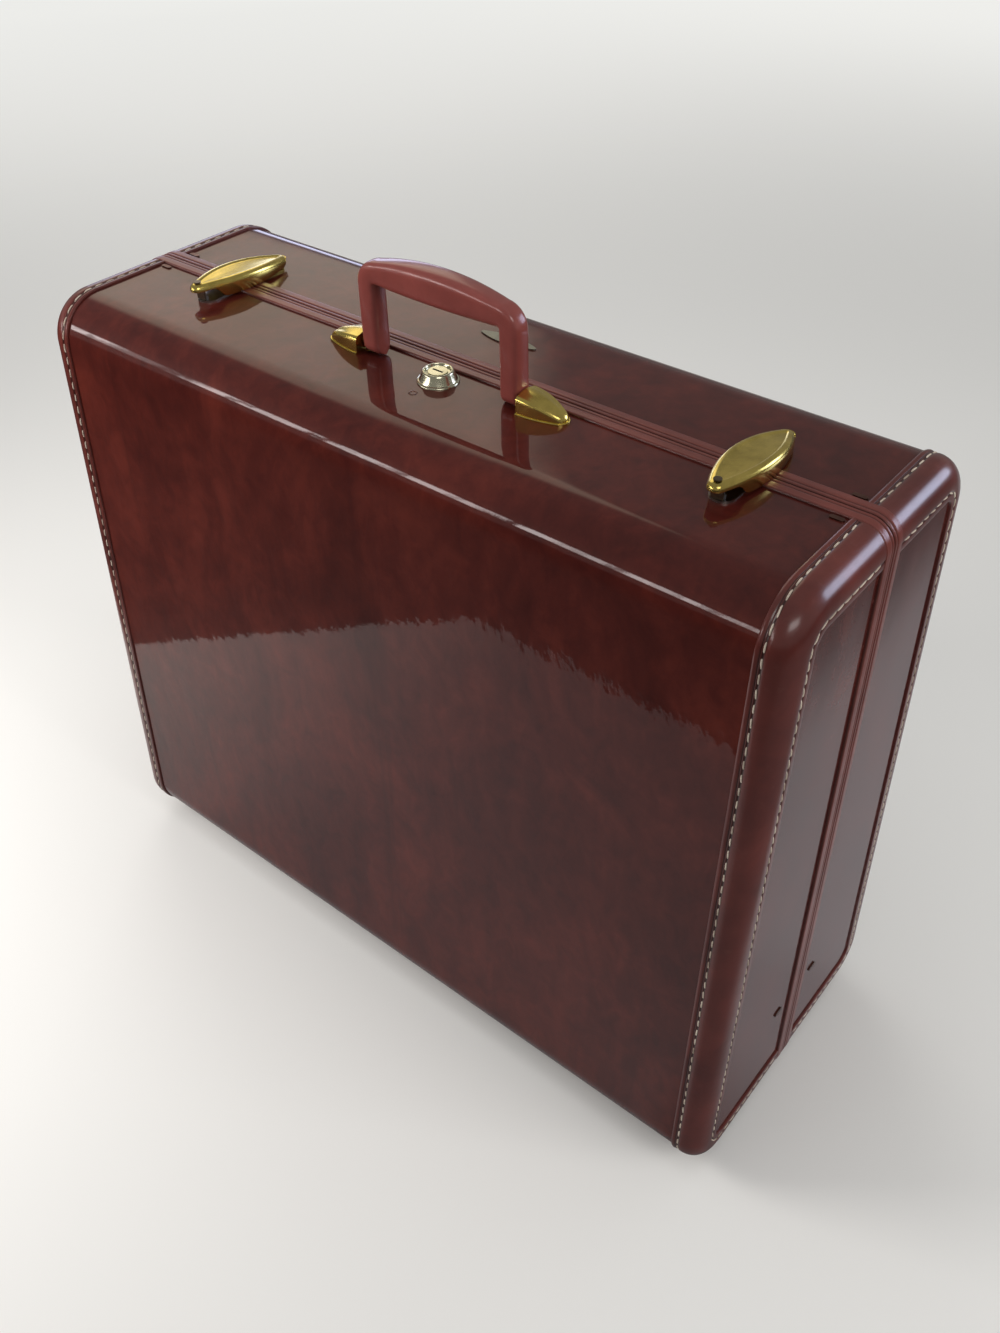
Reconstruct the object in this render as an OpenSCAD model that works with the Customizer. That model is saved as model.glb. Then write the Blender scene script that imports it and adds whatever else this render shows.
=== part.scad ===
// Hard-sided travel case: two wedge-shaped half shells that meet at a seam and are hinged
// along the bottom, with a swinging handle, two lever latches, a key lock and folding stays.
// Millimetres, +Z up, standing on its feet. The base half is at -Y and the lid half at +Y.

/* [Case] */
// Length over the two rolled ends
case_l = 533; // [480:1:600]
// Height of the shell without its feet
case_h = 439; // [400:1:480]
// Depth over both halves at the bottom
depth_bottom = 222; // [206:1:250]
// Depth over both halves at the top
depth_top = 182; // [170:1:204]
// Radius of the long edges seen from the end
edge_r = 30; // [26:1:36]
// Radius of the roll round each end
roll_r = 14; // [11:0.5:16]
// Gap between the two halves at the seam
seam_gap = 0.6; // [0.4:0.1:1.2]

/* [Walls] */
// Thickness of the board
board_t = 4; // [3:0.25:5]
// Thickness of the lacquered cover
cover_t = 0.8; // [0.6:0.1:1.2]
// Thickness of the leather of the bindings
binding_t = 1.2; // [0.8:0.1:1.6]
// Thickness of the glue under the bindings and round the end panels
glue_t = 0.13; // [0.12:0.01:0.2]
// Flat edge of a binding on the long faces
binding_lap = 6; // [4:0.5:9]
// Flat edge of a binding on an end panel
binding_end_lap = 7; // [4:0.5:9]
// Thickness of the lining
lining_t = 0.6; // [0.4:0.1:1]
// Width of the welt on each side of the seam
welt_w = 8.5; // [8:0.5:10.5]
// How far a welt stands out beyond the bindings
welt_rise = 0.4; // [0.2:0.1:0.6]

/* [Tongue] */
// Thickness of the metal tongue
tongue_t = 1.1; // [0.8:0.1:1.4]
// Depth of the tongue inside the base half
tongue_seat = 12; // [10:0.5:12.5]
// Reach of the tongue into the lid half
tongue_reach = 5; // [3:0.5:5.5]
// Clearance between the tongue and the lid
tongue_clear = 0.5; // [0.4:0.05:0.8]

/* [Handle] */
// Place of the handle, the lock and the latches right of the middle
fittings_x = 4; // [-6:0.5:6]
// Distance between the middles of the two legs
handle_span = 101; // [92:1:120]
// Height of the grip above the case
handle_rise = 62; // [56:1:72]
// Width of a leg seen from the front
leg_w = 13; // [11:0.5:15]
// Thickness of a leg seen from the end
leg_t = 11.5; // [10:0.5:13]
// Height of the grip in its middle
grip_w = 17; // [14:0.5:20]
// Thickness of the grip in its middle
grip_t = 13.5; // [11:0.5:15]
// Rounding of the handle's long corners, as a share of its width and thickness
bar_round = 0.38; // [0.25:0.01:0.45]
// Slope of the arched grip where it meets the bends
grip_slope = 14; // [8:0.5:18]
// Radius of the middle line at the two bends
bend_r = 9; // [8:0.5:12]
// Distance of the handle in front of the seam
handle_y = 17.5; // [17:0.25:20]
// Diameter of the handle pins
handle_pin_d = 5; // [4:0.25:6]
// Length of a handle pin inside its leg
pin_in_leg = 9.5; // [7:0.5:10]
// Length of a handle pin inside its mount
pin_in_mount = 9; // [6:0.5:10]
// Gap between the legs and the case
leg_lift = 0.7; // [0.5:0.1:1.5]
// Gap between a leg and its mount
leg_gap = 1; // [0.5:0.1:2]
// Length of a handle mount
mount_l = 28; // [25:0.5:34]
// Width of a handle mount
mount_w = 20; // [18:0.5:21]
// Radius of a mount's outer tip
mount_tip_r = 6; // [4:0.25:7]
// Height of a mount beside the leg
mount_h = 12; // [11.5:0.25:14]
// Height of a mount at its outer tip
mount_tip_h = 4.5; // [3:0.25:6]
// Radius of a mount's crown
mount_crown_r = 60; // [45:1:90]
// Radial clearance of every running pin
pin_clear = 0.05; // [0.03:0.01:0.08]

/* [Latches] */
// Distance of a latch from the middle of the case
latch_x = 185; // [150:1:200]
// Length of a lever
lever_l = 76; // [74:0.5:79]
// Width of a lever
lever_w = 25; // [22:0.5:30]
// Radius of a lever's two tips
lever_tip_r = 5; // [4.5:0.1:6]
// Thickness of a lever's metal
lever_t = 1.2; // [1:0.1:1.4]
// Distance of a lever's back tip behind the seam
lever_back = 37; // [35:0.5:39]
// Height of a lever's back tip above the case
lever_back_h = 7.4; // [7.3:0.1:9]
// Height of a lever's front tip above the case
lever_front_h = 12; // [11.5:0.25:14]
// Radius of a lever's crown along its length
lever_crown_r = 300; // [200:10:500]
// Gap between a lever and the welts
lever_clear = 0.5; // [0.4:0.05:0.7]
// Length of the finger opening under a lever's front tip
finger_l = 16; // [10:0.5:20]
// Height of the lever's edge over the finger opening
finger_edge = 4.3; // [3:0.1:5]
// Thickness of the latch plates on the case
latch_plate_t = 1.2; // [0.8:0.1:1.2]
// Width of a catch plate
catch_w = 14; // [11:0.5:18]
// Distance of a catch plate's end behind the lever's front tip
catch_back = 5; // [4:0.25:6]
// Height of a catch plate's lip
catch_lip_h = 3; // [2:0.25:4]
// Distance of the hook's claw from the lever's front tip
claw_back = 5.9; // [5:0.1:8]
// Thickness of the claw, its flange and the lip
hook_t = 1.2; // [1:0.1:1.4]
// Width of the hook
hook_w = 7; // [5:0.25:7.25]
// Gap between the claw and the lip
claw_clear = 0.3; // [0.3:0.05:0.5]
// Diameter of the rivet through a lever
rivet_d = 3.2; // [2.4:0.1:3.6]
// Diameter of a latch pin
latch_pin_d = 1.8; // [1.4:0.1:2]
// Radius of the knuckle that a lever turns on
knuckle_r = 1.9; // [1.7:0.05:2]
// Height of a latch pin above its plate
knuckle_lift = 2.6; // [2.4:0.05:2.7]

/* [Lock] */
// Distance of the lock in front of the seam
lock_y = 22; // [21.5:0.5:28]
// Diameter of the lock's flange
lock_flange_d = 24; // [21:0.5:26]
// Diameter of the lock's top
lock_top_d = 15; // [13.5:0.5:17]
// Height of the lock above the case
lock_h = 6.7; // [5:0.1:7.2]
// Diameter of the neck through the board
lock_neck_d = 16; // [14:0.5:18]
// Diameter of the key plug
plug_d = 11; // [9:0.25:11.5]
// Width of the key slot
key_slot_w = 1.4; // [1:0.1:2]
// Length of the lock box along the case
lock_box_l = 30; // [24:1:40]
// Depth of the lock box in front of the plug's middle
lock_box_front = 10; // [8:0.5:14]
// Height of the lock box under the board
lock_box_h = 8.5; // [8:0.25:12]
// Thickness of the cam
cam_t = 2.5; // [2:0.25:3]
// Width of the cam
cam_w = 8; // [6:0.5:10]
// Height of the finger on the cam
cam_finger_h = 6; // [4:0.25:6.25]
// Diameter of the finger on the cam
cam_finger_d = 3; // [2.5:0.25:4]
// Gap between the cam's finger and the keeper
cam_clear = 0.6; // [0.5:0.05:1]
// Width of the keeper's lug
lug_w = 9; // [6:0.5:12]
// Thickness of the keeper's lug
lug_t = 3; // [2:0.25:4]
// Thickness of the keeper's plate
keeper_t = 1.2; // [0.8:0.1:1.6]
// Length of the keeper's plate
keeper_l = 17.5; // [12:0.5:22]
// Width of the keeper's plate
keeper_w = 24; // [18:0.5:30]
// Gap between the tongue and the keeper
keeper_gap = 1.5; // [1:0.1:2.5]

/* [Hinges] */
// Distance of a hinge from the middle of the case
hinge_x = 150; // [110:1:180]
// Length of a hinge
hinge_l = 60; // [48:1:75]
// Width of a hinge leaf
leaf_w = 28; // [20:0.5:36]
// Thickness of a hinge leaf
leaf_t = 1.2; // [1:0.05:1.3]
// Outer radius of the hinge barrel
barrel_r = 2.6; // [2.3:0.05:2.7]
// Drop of the hinge axis below the leaves
barrel_drop = 2; // [1.9:0.05:2.3]
// Diameter of a hinge pin
hinge_pin_d = 2.6; // [2:0.1:2.8]
// Gap between neighbouring knuckles
knuckle_gap = 0.4; // [0.3:0.05:0.6]

/* [Stays] */
// Distance of a stay's pivots from the seam
stay_y = 22; // [18:0.5:30]
// Height of a stay's pivots above the hinge axis
stay_z = 82; // [60:1:100]
// Width of a stay arm
stay_w = 9; // [8:0.5:12]
// Thickness of a stay arm
stay_t = 1.5; // [1:0.1:1.8]
// Gap between the lining and the nearer arm
stay_gap = 2; // [1.7:0.1:3]
// Gap between the two arms and under the rivet heads
stay_play = 0.4; // [0.3:0.05:0.6]
// Diameter of the studs that carry the arms
stud_d = 4; // [3:0.25:5]
// Diameter of the knee rivet
knee_d = 3; // [2.5:0.25:4]
// Radial clearance of the knee rivet
knee_clear = 0.3; // [0.2:0.05:0.4]
// Thickness of the rivet heads of the stays
stay_head_t = 1; // [0.6:0.1:1.5]

/* [Feet and trim] */
// Height of the feet
foot_h = 7; // [6.5:0.25:9]
// Diameter of a foot
foot_d = 18; // [14:0.5:24]
// Radius of the dome under a foot
foot_dome_r = 12; // [10.5:0.5:16]
// Width of the flat under a foot
foot_flat = 13; // [8:0.5:13.5]
// Distance of a foot from the middle along the case
foot_x = 215; // [195:1:225]
// Distance of a foot from the seam
foot_y = 68; // [50:1:75]
// Length of a staple head
staple_l = 8; // [6:0.5:10]
// Width of a staple head
staple_w = 3; // [2:0.25:4]
// Thickness of a staple head
staple_t = 0.8; // [0.5:0.1:1.2]
// Gap between a staple head and what it lies beside
staple_gap = 1.5; // [1:0.25:4]
// Length of the bare plate on the lid
plate_l = 40; // [30:1:50]
// Width of the bare plate
plate_w = 10; // [8:0.5:14]
// Thickness of the bare plate
plate_t = 0.8; // [0.5:0.1:1]
// Radius of the bare plate's tips
plate_tip_r = 1.2; // [0.8:0.1:2]
// Distance of the bare plate behind the seam
plate_y = 39.5; // [28:0.5:42]

/* [Hidden] */
$fn = 96;
fine = 360;
eps = 0.01;
// Step by which round stretches stand out beyond flat ones where the two meet
nip = 0.02;
// Steps round each long edge and round a roll where a section is swept
bend_steps = 10;
roll_steps = 8;
// Steps along half the grip, round a bend and round a leg's foot, and round one corner of the handle
grip_steps = 8;
turn_steps = 6;
foot_steps = 5;
corner_steps = 4;
// Angle at which a leg's round foot ends in a narrow flat
foot_end = 80;
seam = seam_gap / 2;
wall = binding_t + cover_t + board_t;
leather_t = binding_t - glue_t;
half_bottom = depth_bottom / 2;
half_top = depth_top / 2;
lean = atan((half_bottom - half_top) / case_h);
face_out = [-cos(lean), sin(lean)];

// Heights: the shell's outer box, then the surface of the cover
z_bottom = foot_h;
z_top = foot_h + case_h;
z_mid = foot_h + case_h / 2;
skin_top = z_top - binding_t;
skin_bottom = z_bottom + binding_t;
board_under = z_top - wall;
welt_top = z_top + welt_rise;
welt_edge = seam + welt_w;

// Middles of the two rounded edges of the front half, as [depth, height]
edge_low = [-half_bottom + edge_r * (1 + sin(lean)) / cos(lean), z_bottom + edge_r];
edge_high = [-half_top + edge_r * (1 - sin(lean)) / cos(lean), z_top - edge_r];
end_start = case_l / 2 - roll_r;

// Handle
pivot_z = skin_top + leg_lift + leg_t / 2;
leg_x = handle_span / 2;
leg_out = leg_x + leg_w / 2;
arch_r = (leg_x - bend_r) / sin(grip_slope) + bend_r;
arch_z = skin_top + handle_rise - grip_w / 2 - arch_r;
bend_middle = [leg_x - bend_r, arch_z + (arch_r - bend_r) * cos(grip_slope)];
mount_x = leg_out + leg_gap;

// Latches
lever_front = lever_l - lever_back;
lever_mid = lever_back - lever_l / 2;
lever_pivot = [lever_back - lever_tip_r, skin_top + latch_plate_t + knuckle_lift];
lever_low = welt_top + lever_clear;
lever_tall = lever_front_h + lever_l / 10;
front_tip = [-lever_front, skin_top + lever_front_h];
back_tip = [lever_back, skin_top + lever_back_h];
catch_top = skin_top + latch_plate_t;
claw_y = -lever_front + claw_back;
flange_top = front_tip[1] - lever_t - claw_clear;
knuckle_half = sqrt(pow(lever_tip_r - lever_t, 2) - pow(lever_tip_r / 2, 2)) - lever_clear;
bracket_end = lever_pivot[0] - knuckle_r - lever_clear;

// Lock
lug_front = tongue_reach + keeper_gap;
lug_back = lug_front + lug_t;
cam_r = lock_y + lug_back + cam_clear + cam_finger_d / 2;
cam_top = board_under - lock_box_h - cam_clear;
lug_low = cam_top + cam_clear + 0.5;

// Hinges and stays
hinge_z = skin_bottom - leaf_t - barrel_drop;
leaf_clear = barrel_r + knuckle_gap;
stay_pivot = [-stay_y, hinge_z + stay_z];
stay_knee = [0, hinge_z + 2 * stay_z];
base_arm_x = case_l / 2 - wall - lining_t - stay_gap;
lid_arm_x = base_arm_x - stay_t - stay_play;

// Placing
module along_x(x0, x1) translate([x0, 0, 0]) rotate([90, 0, 90]) linear_extrude(x1 - x0) children();
module along_y(y0, y1) translate([0, y1, 0]) rotate([90, 0, 0]) linear_extrude(y1 - y0) children();
module along_z(z0, z1) translate([0, 0, z0]) linear_extrude(z1 - z0) children();
module block(low, high) translate(low) cube(high - low);
module rod_x(x0, x1, y, z, r) translate([x0, y, z]) rotate([0, 90, 0]) cylinder(h = x1 - x0, r = r);
module left() mirror([1, 0, 0]) children();
module lid() mirror([0, 1, 0]) children();
module at_fittings() translate([fittings_x, 0, 0]) children();
module both_ends() {
    children();
    left() children();
}

// Front half of the case's profile, filled between two places along the case, a set distance
// in from its outside
module filled(inset, start, x0, x1) {
    r = edge_r - inset;
    along_x(x0, x1) polygon([
        [-start, z_bottom + inset], edge_low - [0, r], edge_low + r * face_out,
        edge_high + r * face_out, edge_high + [0, r], [-start, z_top - inset]
    ]);
    along_x(x0, x1) translate(edge_low) circle(r + nip);
    along_x(x0, x1) translate(edge_high) circle(r + nip);
}

// Outline of the seam, drawn as length and height
module outline(inset) {
    r = roll_r - inset;
    w = case_l - 2 * inset;
    h = case_h - 2 * inset;
    translate([0, z_mid]) {
        square([w - 2 * r, h], center = true);
        square([w, h - 2 * r], center = true);
        for (x = [-1, 1], z = [-1, 1]) translate([x * (w / 2 - r), z * (h / 2 - r)]) circle(r);
    }
}

// Bent sheet of the front half, between two insets from its outside
module bent_sheet(outer, inner, start)
    difference() {
        filled(outer, start, -end_start, end_start);
        filled(inner, start - 1, -end_start - 1, end_start + 1);
    }

// Route round the right end of the front half, from the seam down, round the front and back to
// the seam: each station is a point of the outer profile and the angle of the way out from it
function bend_stations(middle, from, to) =
    [for (i = [0 : bend_steps]) let (a = from + (to - from) * i / bend_steps)
        [middle + edge_r * [cos(a), sin(a)], a]];
function end_route(start) = concat(
    [[[-start, z_bottom], 270]],
    bend_stations(edge_low, 270, 180 - lean),
    bend_stations(edge_high, 180 - lean, 90),
    [[[-start, z_top], 90]]
);
// Sweep of a section along that route. The section's first axis points outward and its second
// along the case, from where the roll starts.
module end_sweep(start, section) {
    route = end_route(start);
    n = len(section);
    last = len(route) - 1;
    points = [for (stop = route, p = section) [
        end_start + p[1], stop[0][0] + p[0] * cos(stop[1]), stop[0][1] + p[0] * sin(stop[1])
    ]];
    sides = [for (i = [0 : last - 1], j = [0 : n - 1], half = [0, 1])
        let (a = i * n + j, b = i * n + (j + 1) % n)
            half == 0 ? [a, b, b + n] : [a, b + n, a + n]];
    ends = [[for (j = [n - 1 : -1 : 0]) j], [for (j = [0 : n - 1]) last * n + j]];
    polyhedron(points, concat(sides, ends));
}
// Quarter circle of a section's roll, from the long face to the end panel
function roll_arc(r) =
    [for (i = [0 : roll_steps]) let (a = 90 * i / roll_steps) [r * cos(a) - roll_r, r * sin(a)]];
function reversed(list) = [for (i = [len(list) - 1 : -1 : 0]) list[i]];

// Ring that follows the seam's outline, from one depth to another
module seam_ring(outer, inner, y0, y1)
    along_y(y0, y1) difference() {
        outline(outer);
        outline(inner);
    }

// Leaf with round tips, lying along the first axis
module leaf(l, w, tip_r) {
    side_r = (l * l / 4 + w * w / 4 - l * tip_r) / (w - 2 * tip_r);
    tip_x = l / 2 - tip_r;
    reach = tip_x + tip_r * tip_x / (side_r - tip_r);
    intersection() {
        translate([0, side_r - w / 2]) circle(side_r, $fn = fine);
        translate([0, w / 2 - side_r]) circle(side_r, $fn = fine);
        square([2 * reach, 2 * w], center = true);
    }
    for (side = [-1, 1]) translate([side * tip_x, 0]) circle(tip_r + nip);
}

// Space under an arc that rises through two points, down to a level
function arc_middle(p, q, r) =
    let (d = q - p, half = norm(d) / 2) (p + q) / 2 - [-d[1], d[0]] / norm(d) * sqrt(r * r - half * half);
module under_arc(p, q, r, drop, low)
    intersection() {
        translate(arc_middle(p, q, r)) circle(r - drop, $fn = fine);
        translate([p[0] - 1, low]) square([q[0] - p[0] + 2, max(p[1], q[1]) - low + r / 10]);
    }

// Flat bar with round ends between two points
module link(p, q, w) {
    d = q - p;
    translate(p) rotate(atan2(d[1], d[0])) translate([0, nip - w / 2]) square([norm(d), w - 2 * nip]);
    translate(p) circle(w / 2);
    translate(q) circle(w / 2);
}

// Holes shared by the layers of the shell
module lock_hole() translate([fittings_x, -lock_y, board_under - 2]) cylinder(h = wall + 4, d = lock_neck_d);
module stud_hole(clear)
    rod_x(case_l / 2 - wall - 2, case_l / 2 + 1, stay_pivot[0], stay_pivot[1], stud_d / 2 + clear);

// Layers of one half shell
module half_carcass() bent_sheet(binding_t + cover_t, wall, seam);
module half_cover() bent_sheet(binding_t, binding_t + cover_t, seam);
module half_corner()
    end_sweep(seam, concat(roll_arc(roll_r - binding_t), reversed(roll_arc(roll_r - wall))));
module half_end()
    difference() {
        filled(roll_r + glue_t, seam, case_l / 2 - wall, case_l / 2 - binding_t);
        stud_hole(0);
    }
module half_binding()
    end_sweep(welt_edge, concat(
        [[0, -binding_lap]], roll_arc(roll_r), [[-roll_r - binding_end_lap, roll_r]],
        [[-roll_r - binding_end_lap, roll_r - leather_t]], reversed(roll_arc(roll_r - leather_t)),
        [[-leather_t, -binding_lap]]
    ));
module half_welt()
    difference() {
        seam_ring(-welt_rise, binding_t, -welt_edge, -seam);
        both_ends() hinge_notch();
    }
module hinge_notch()
    block([hinge_x - hinge_l / 2 - knuckle_gap, -welt_edge - 1, 0],
        [hinge_x + hinge_l / 2 + knuckle_gap, 1, skin_bottom]);
module half_lining(start) {
    bent_sheet(wall, wall + lining_t, start);
    both_ends() difference() {
        filled(roll_r, start, case_l / 2 - wall - lining_t, case_l / 2 - wall);
        stud_hole(pin_clear);
    }
}

// Base half
module base_carcass() color("#6b4a33") difference() {
    half_carcass();
    lock_hole();
}
module base_cover() color("#4a1f1c") difference() {
    half_cover();
    lock_hole();
}
module base_corner() color("#6b4a33") half_corner();
module base_corner_left() left() base_corner();
module base_corner_right() base_corner();
module base_end() color("#4a1f1c") half_end();
module base_end_left() left() base_end();
module base_end_right() base_end();
module base_binding() color("#6e2a22") half_binding();
module base_binding_left() left() base_binding();
module base_binding_right() base_binding();
module base_tongue() color("#b9b6ad") {
    seam_ring(wall, wall + tongue_clear + tongue_t, -tongue_seat, -seam);
    seam_ring(wall + tongue_clear, wall + tongue_clear + tongue_t, -seam - eps, tongue_reach);
}
module base_welt() color("#6e2a22") half_welt();
module base_lining() color("#c9b48c") difference() {
    half_lining(tongue_seat);
    block([fittings_x - lock_box_l / 2 - 1, -2 * lock_y, board_under - lining_t - 1],
        [fittings_x + lock_box_l / 2 + 1, 0, board_under + 1]);
}

// Handle and its mounts
module handle_mount() color("#a8923a") difference() {
    intersection() {
        translate([mount_x, -handle_y, 0]) along_z(skin_top, skin_top + 2 * mount_h)
            leaf(2 * mount_l, mount_w, mount_tip_r);
        along_y(-handle_y - mount_w, -handle_y + mount_w)
            under_arc([mount_x, skin_top + mount_h], [mount_x + mount_l, skin_top + mount_tip_h],
                mount_crown_r, 0, skin_top);
        block([mount_x, -2 * handle_y - mount_w, 0], [mount_x + mount_l + 1, mount_w, 2 * z_top]);
    }
    block([0, -welt_edge, 0], [case_l, mount_w, welt_top]);
    rod_x(0, mount_x + pin_in_mount, -handle_y, pivot_z, handle_pin_d / 2);
}
module handle_mount_left() at_fittings() left() handle_mount();
module handle_mount_right() at_fittings() handle_mount();
module handle_pin() color("#8d8a84")
    rod_x(leg_out - pin_in_leg + leg_gap, mount_x + pin_in_mount, -handle_y, pivot_z, handle_pin_d / 2);
module handle_pin_left() at_fittings() left() handle_pin();
module handle_pin_right() at_fittings() handle_pin();
// Half of the handle's middle line, from the middle of the grip to the foot of the right leg. Each
// stop is a place, the angle of the way out from it, the size of the section and its swell.
handle_half = concat(
    [for (i = [0 : grip_steps]) let (a = 90 - grip_slope * i / grip_steps)
        [[arch_r * cos(a), arch_z + arch_r * sin(a)], a, 1, 1 - pow(i / grip_steps, 2)]],
    [for (i = [1 : turn_steps]) let (a = (90 - grip_slope) * (1 - i / turn_steps))
        [bend_middle + bend_r * [cos(a), sin(a)], a, 1, 0]],
    [for (i = [0 : foot_steps]) let (a = foot_end * i / foot_steps)
        [[leg_x, pivot_z - leg_t / 2 * sin(a)], 0, cos(a), 0]]
);
// Corners of the handle's section as [outward, along y], as shares of its half sizes
function bar_corners() = [
    for (corner = [0 : 3], i = [0 : corner_steps])
        let (a = 90 * (corner + i / corner_steps), sx = corner == 0 || corner == 3 ? 1 : -1, sy = corner < 2 ? 1 : -1)
            [sx, sy] * (1 - 2 * bar_round) + 2 * bar_round * [cos(a), sin(a)]
];
function handle_ring(stop, side) = [
    for (p = bar_corners())
        let (
            w = (leg_w + (grip_w - leg_w) * stop[3]) / 2,
            t = (leg_t + (grip_t - leg_t) * stop[3]) / 2 * stop[2],
            at = stop[0] + p[0] * w * [cos(stop[1]), sin(stop[1])]
        ) [side * at[0], p[1] * t - handle_y, at[1]]
];
module handle_bar() {
    half = len(handle_half) - 1;
    rings = concat(
        [for (i = [half : -1 : 1]) handle_ring(handle_half[i], -1)],
        [for (stop = handle_half) handle_ring(stop, 1)]
    );
    n = len(rings[0]);
    last = len(rings) - 1;
    sides = [for (i = [0 : last - 1], j = [0 : n - 1], part = [0, 1])
        let (a = i * n + j, b = i * n + (j + 1) % n)
            part == 0 ? [a, b, b + n] : [a, b + n, a + n]];
    ends = [[for (j = [n - 1 : -1 : 0]) j], [for (j = [0 : n - 1]) last * n + j]];
    polyhedron([for (ring = rings, p = ring) p], concat(sides, ends));
}
module handle_grip() color("#7a2b24") at_fittings() difference() {
    handle_bar();
    both_ends() rod_x(leg_out - pin_in_leg, leg_out + 1, -handle_y, pivot_z, handle_pin_d / 2 + pin_clear);
}

// Latches, drawn at the right-hand place
module latch_catch() color("#b9b6ad") translate([latch_x, 0, 0]) {
    along_z(skin_top, catch_top)
        link([0, -welt_edge - catch_w / 2 - eps], [0, -lever_front + catch_back + catch_w / 2], catch_w);
    block([-hook_w / 2, claw_y + hook_t + claw_clear, skin_top],
        [hook_w / 2, claw_y + 2 * hook_t + claw_clear, catch_top + catch_lip_h]);
}
module latch_catch_left() at_fittings() left() latch_catch();
module latch_catch_right() at_fittings() latch_catch();
module latch_bracket() color("#a8923a") translate([latch_x, 0, 0]) difference() {
    union() {
        block([-lever_w / 4, welt_edge + eps, skin_top], [lever_w / 4, bracket_end, catch_top]);
        block([-knuckle_half, bracket_end - knuckle_r, skin_top],
            [knuckle_half, lever_pivot[0] + knuckle_r, lever_pivot[1]]);
        rod_x(-knuckle_half, knuckle_half, lever_pivot[0], lever_pivot[1], knuckle_r);
    }
    rod_x(-lever_w, lever_w, lever_pivot[0], lever_pivot[1], latch_pin_d / 2 + pin_clear);
}
module latch_bracket_left() at_fittings() left() latch_bracket();
module latch_bracket_right() at_fittings() latch_bracket();
module lever_form(inward)
    intersection() {
        translate([0, lever_mid, 0]) rotate(90) along_z(lever_low - inward, skin_top + lever_tall)
            leaf(lever_l - 2 * inward, lever_w - 2 * inward, lever_tip_r - inward);
        along_x(-lever_w, lever_w) under_arc(front_tip, back_tip, lever_crown_r, inward, lever_low - inward);
    }
module latch_lever() color("#b39a3c") translate([latch_x, 0, 0]) difference() {
    lever_form(0);
    lever_form(lever_t);
    block([-lever_w, -lever_front - 1, 0], [lever_w, -lever_front + finger_l, front_tip[1] - finger_edge]);
    block([-lever_w, lever_pivot[0] + lever_tip_r / 2, 0],
        [lever_w, lever_back + 1, back_tip[1] - lever_t]);
    translate([0, -lever_front + lever_tip_r, skin_top]) cylinder(h = lever_tall, d = rivet_d);
    rod_x(-lever_w, lever_w, lever_pivot[0], lever_pivot[1], latch_pin_d / 2);
}
module latch_lever_left() at_fittings() left() latch_lever();
module latch_lever_right() at_fittings() latch_lever();
module latch_hook() color("#8d8a84") translate([latch_x, 0, 0]) {
    block([-hook_w / 2, claw_y - hook_t, flange_top - hook_t], [hook_w / 2, claw_y + 8 * hook_t, flange_top]);
    block([-hook_w / 2, claw_y, catch_top + claw_clear], [hook_w / 2, claw_y + hook_t, flange_top]);
    translate([0, -lever_front + lever_tip_r, 0]) {
        along_z(flange_top - hook_t, front_tip[1] + hook_t) circle(d = rivet_d);
        along_z(front_tip[1] + hook_t / 2, front_tip[1] + hook_t) circle(d = rivet_d + hook_t);
    }
}
module latch_hook_left() at_fittings() left() latch_hook();
module latch_hook_right() at_fittings() latch_hook();
module latch_pin() color("#8d8a84")
    rod_x(latch_x - lever_tip_r + lever_t / 2, latch_x + lever_tip_r - lever_t / 2,
        lever_pivot[0], lever_pivot[1], latch_pin_d / 2);
module latch_pin_left() at_fittings() left() latch_pin();
module latch_pin_right() at_fittings() latch_pin();

// Lock
module lock_case() color("#c9c4a8") translate([fittings_x, -lock_y, 0]) rotate_extrude() {
    polygon([
        [plug_d / 2 + pin_clear, board_under], [lock_neck_d / 2, board_under],
        [lock_neck_d / 2, skin_top], [lock_flange_d / 2, skin_top],
        [lock_flange_d / 2, skin_top + lock_h / 4], [lock_top_d / 2 + lock_h / 4, skin_top + lock_h * 0.6],
        [lock_top_d / 2 + lock_h / 6, skin_top + lock_h * 0.8], [lock_top_d / 2, skin_top + lock_h * 0.8],
        [lock_top_d / 2 - lock_h / 6, skin_top + lock_h], [plug_d / 2 + pin_clear, skin_top + lock_h]
    ]);
}
module lock_box() color("#8d8a84") difference() {
    block([fittings_x - lock_box_l / 2, -lock_y - lock_box_front, board_under - lock_box_h],
        [fittings_x + lock_box_l / 2, -tongue_seat - 1, board_under]);
    translate([fittings_x, -lock_y, 0]) cylinder(h = 2 * z_top, r = plug_d / 2 + pin_clear);
}
module lock_plug() color("#d8d5c8") difference() {
    translate([fittings_x, -lock_y, 0]) along_z(cam_top - cam_t, skin_top + lock_h * 0.9) circle(d = plug_d);
    block([fittings_x - plug_d / 3, -lock_y - key_slot_w / 2, skin_top],
        [fittings_x + plug_d / 3, -lock_y + key_slot_w / 2, z_top + lock_h]);
}
module lock_cam() color("#8d8a84") translate([fittings_x, -lock_y, 0]) {
    along_z(cam_top - cam_t, cam_top) difference() {
        union() {
            link([0, 0], [-cam_r, 0], cam_w);
            circle(d = plug_d + cam_w / 2);
        }
        circle(d = plug_d);
    }
    translate([-cam_r, 0]) along_z(cam_top - cam_t, cam_top + cam_finger_h) circle(d = cam_finger_d);
}
module lock_keeper() color("#8d8a84") {
    block([fittings_x - keeper_w / 2, lug_front, board_under - keeper_t],
        [fittings_x + keeper_w / 2, lug_front + keeper_l, board_under]);
    block([fittings_x - cam_finger_d, lug_front, lug_low], [fittings_x - cam_finger_d + lug_w, lug_back, board_under]);
}

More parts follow.
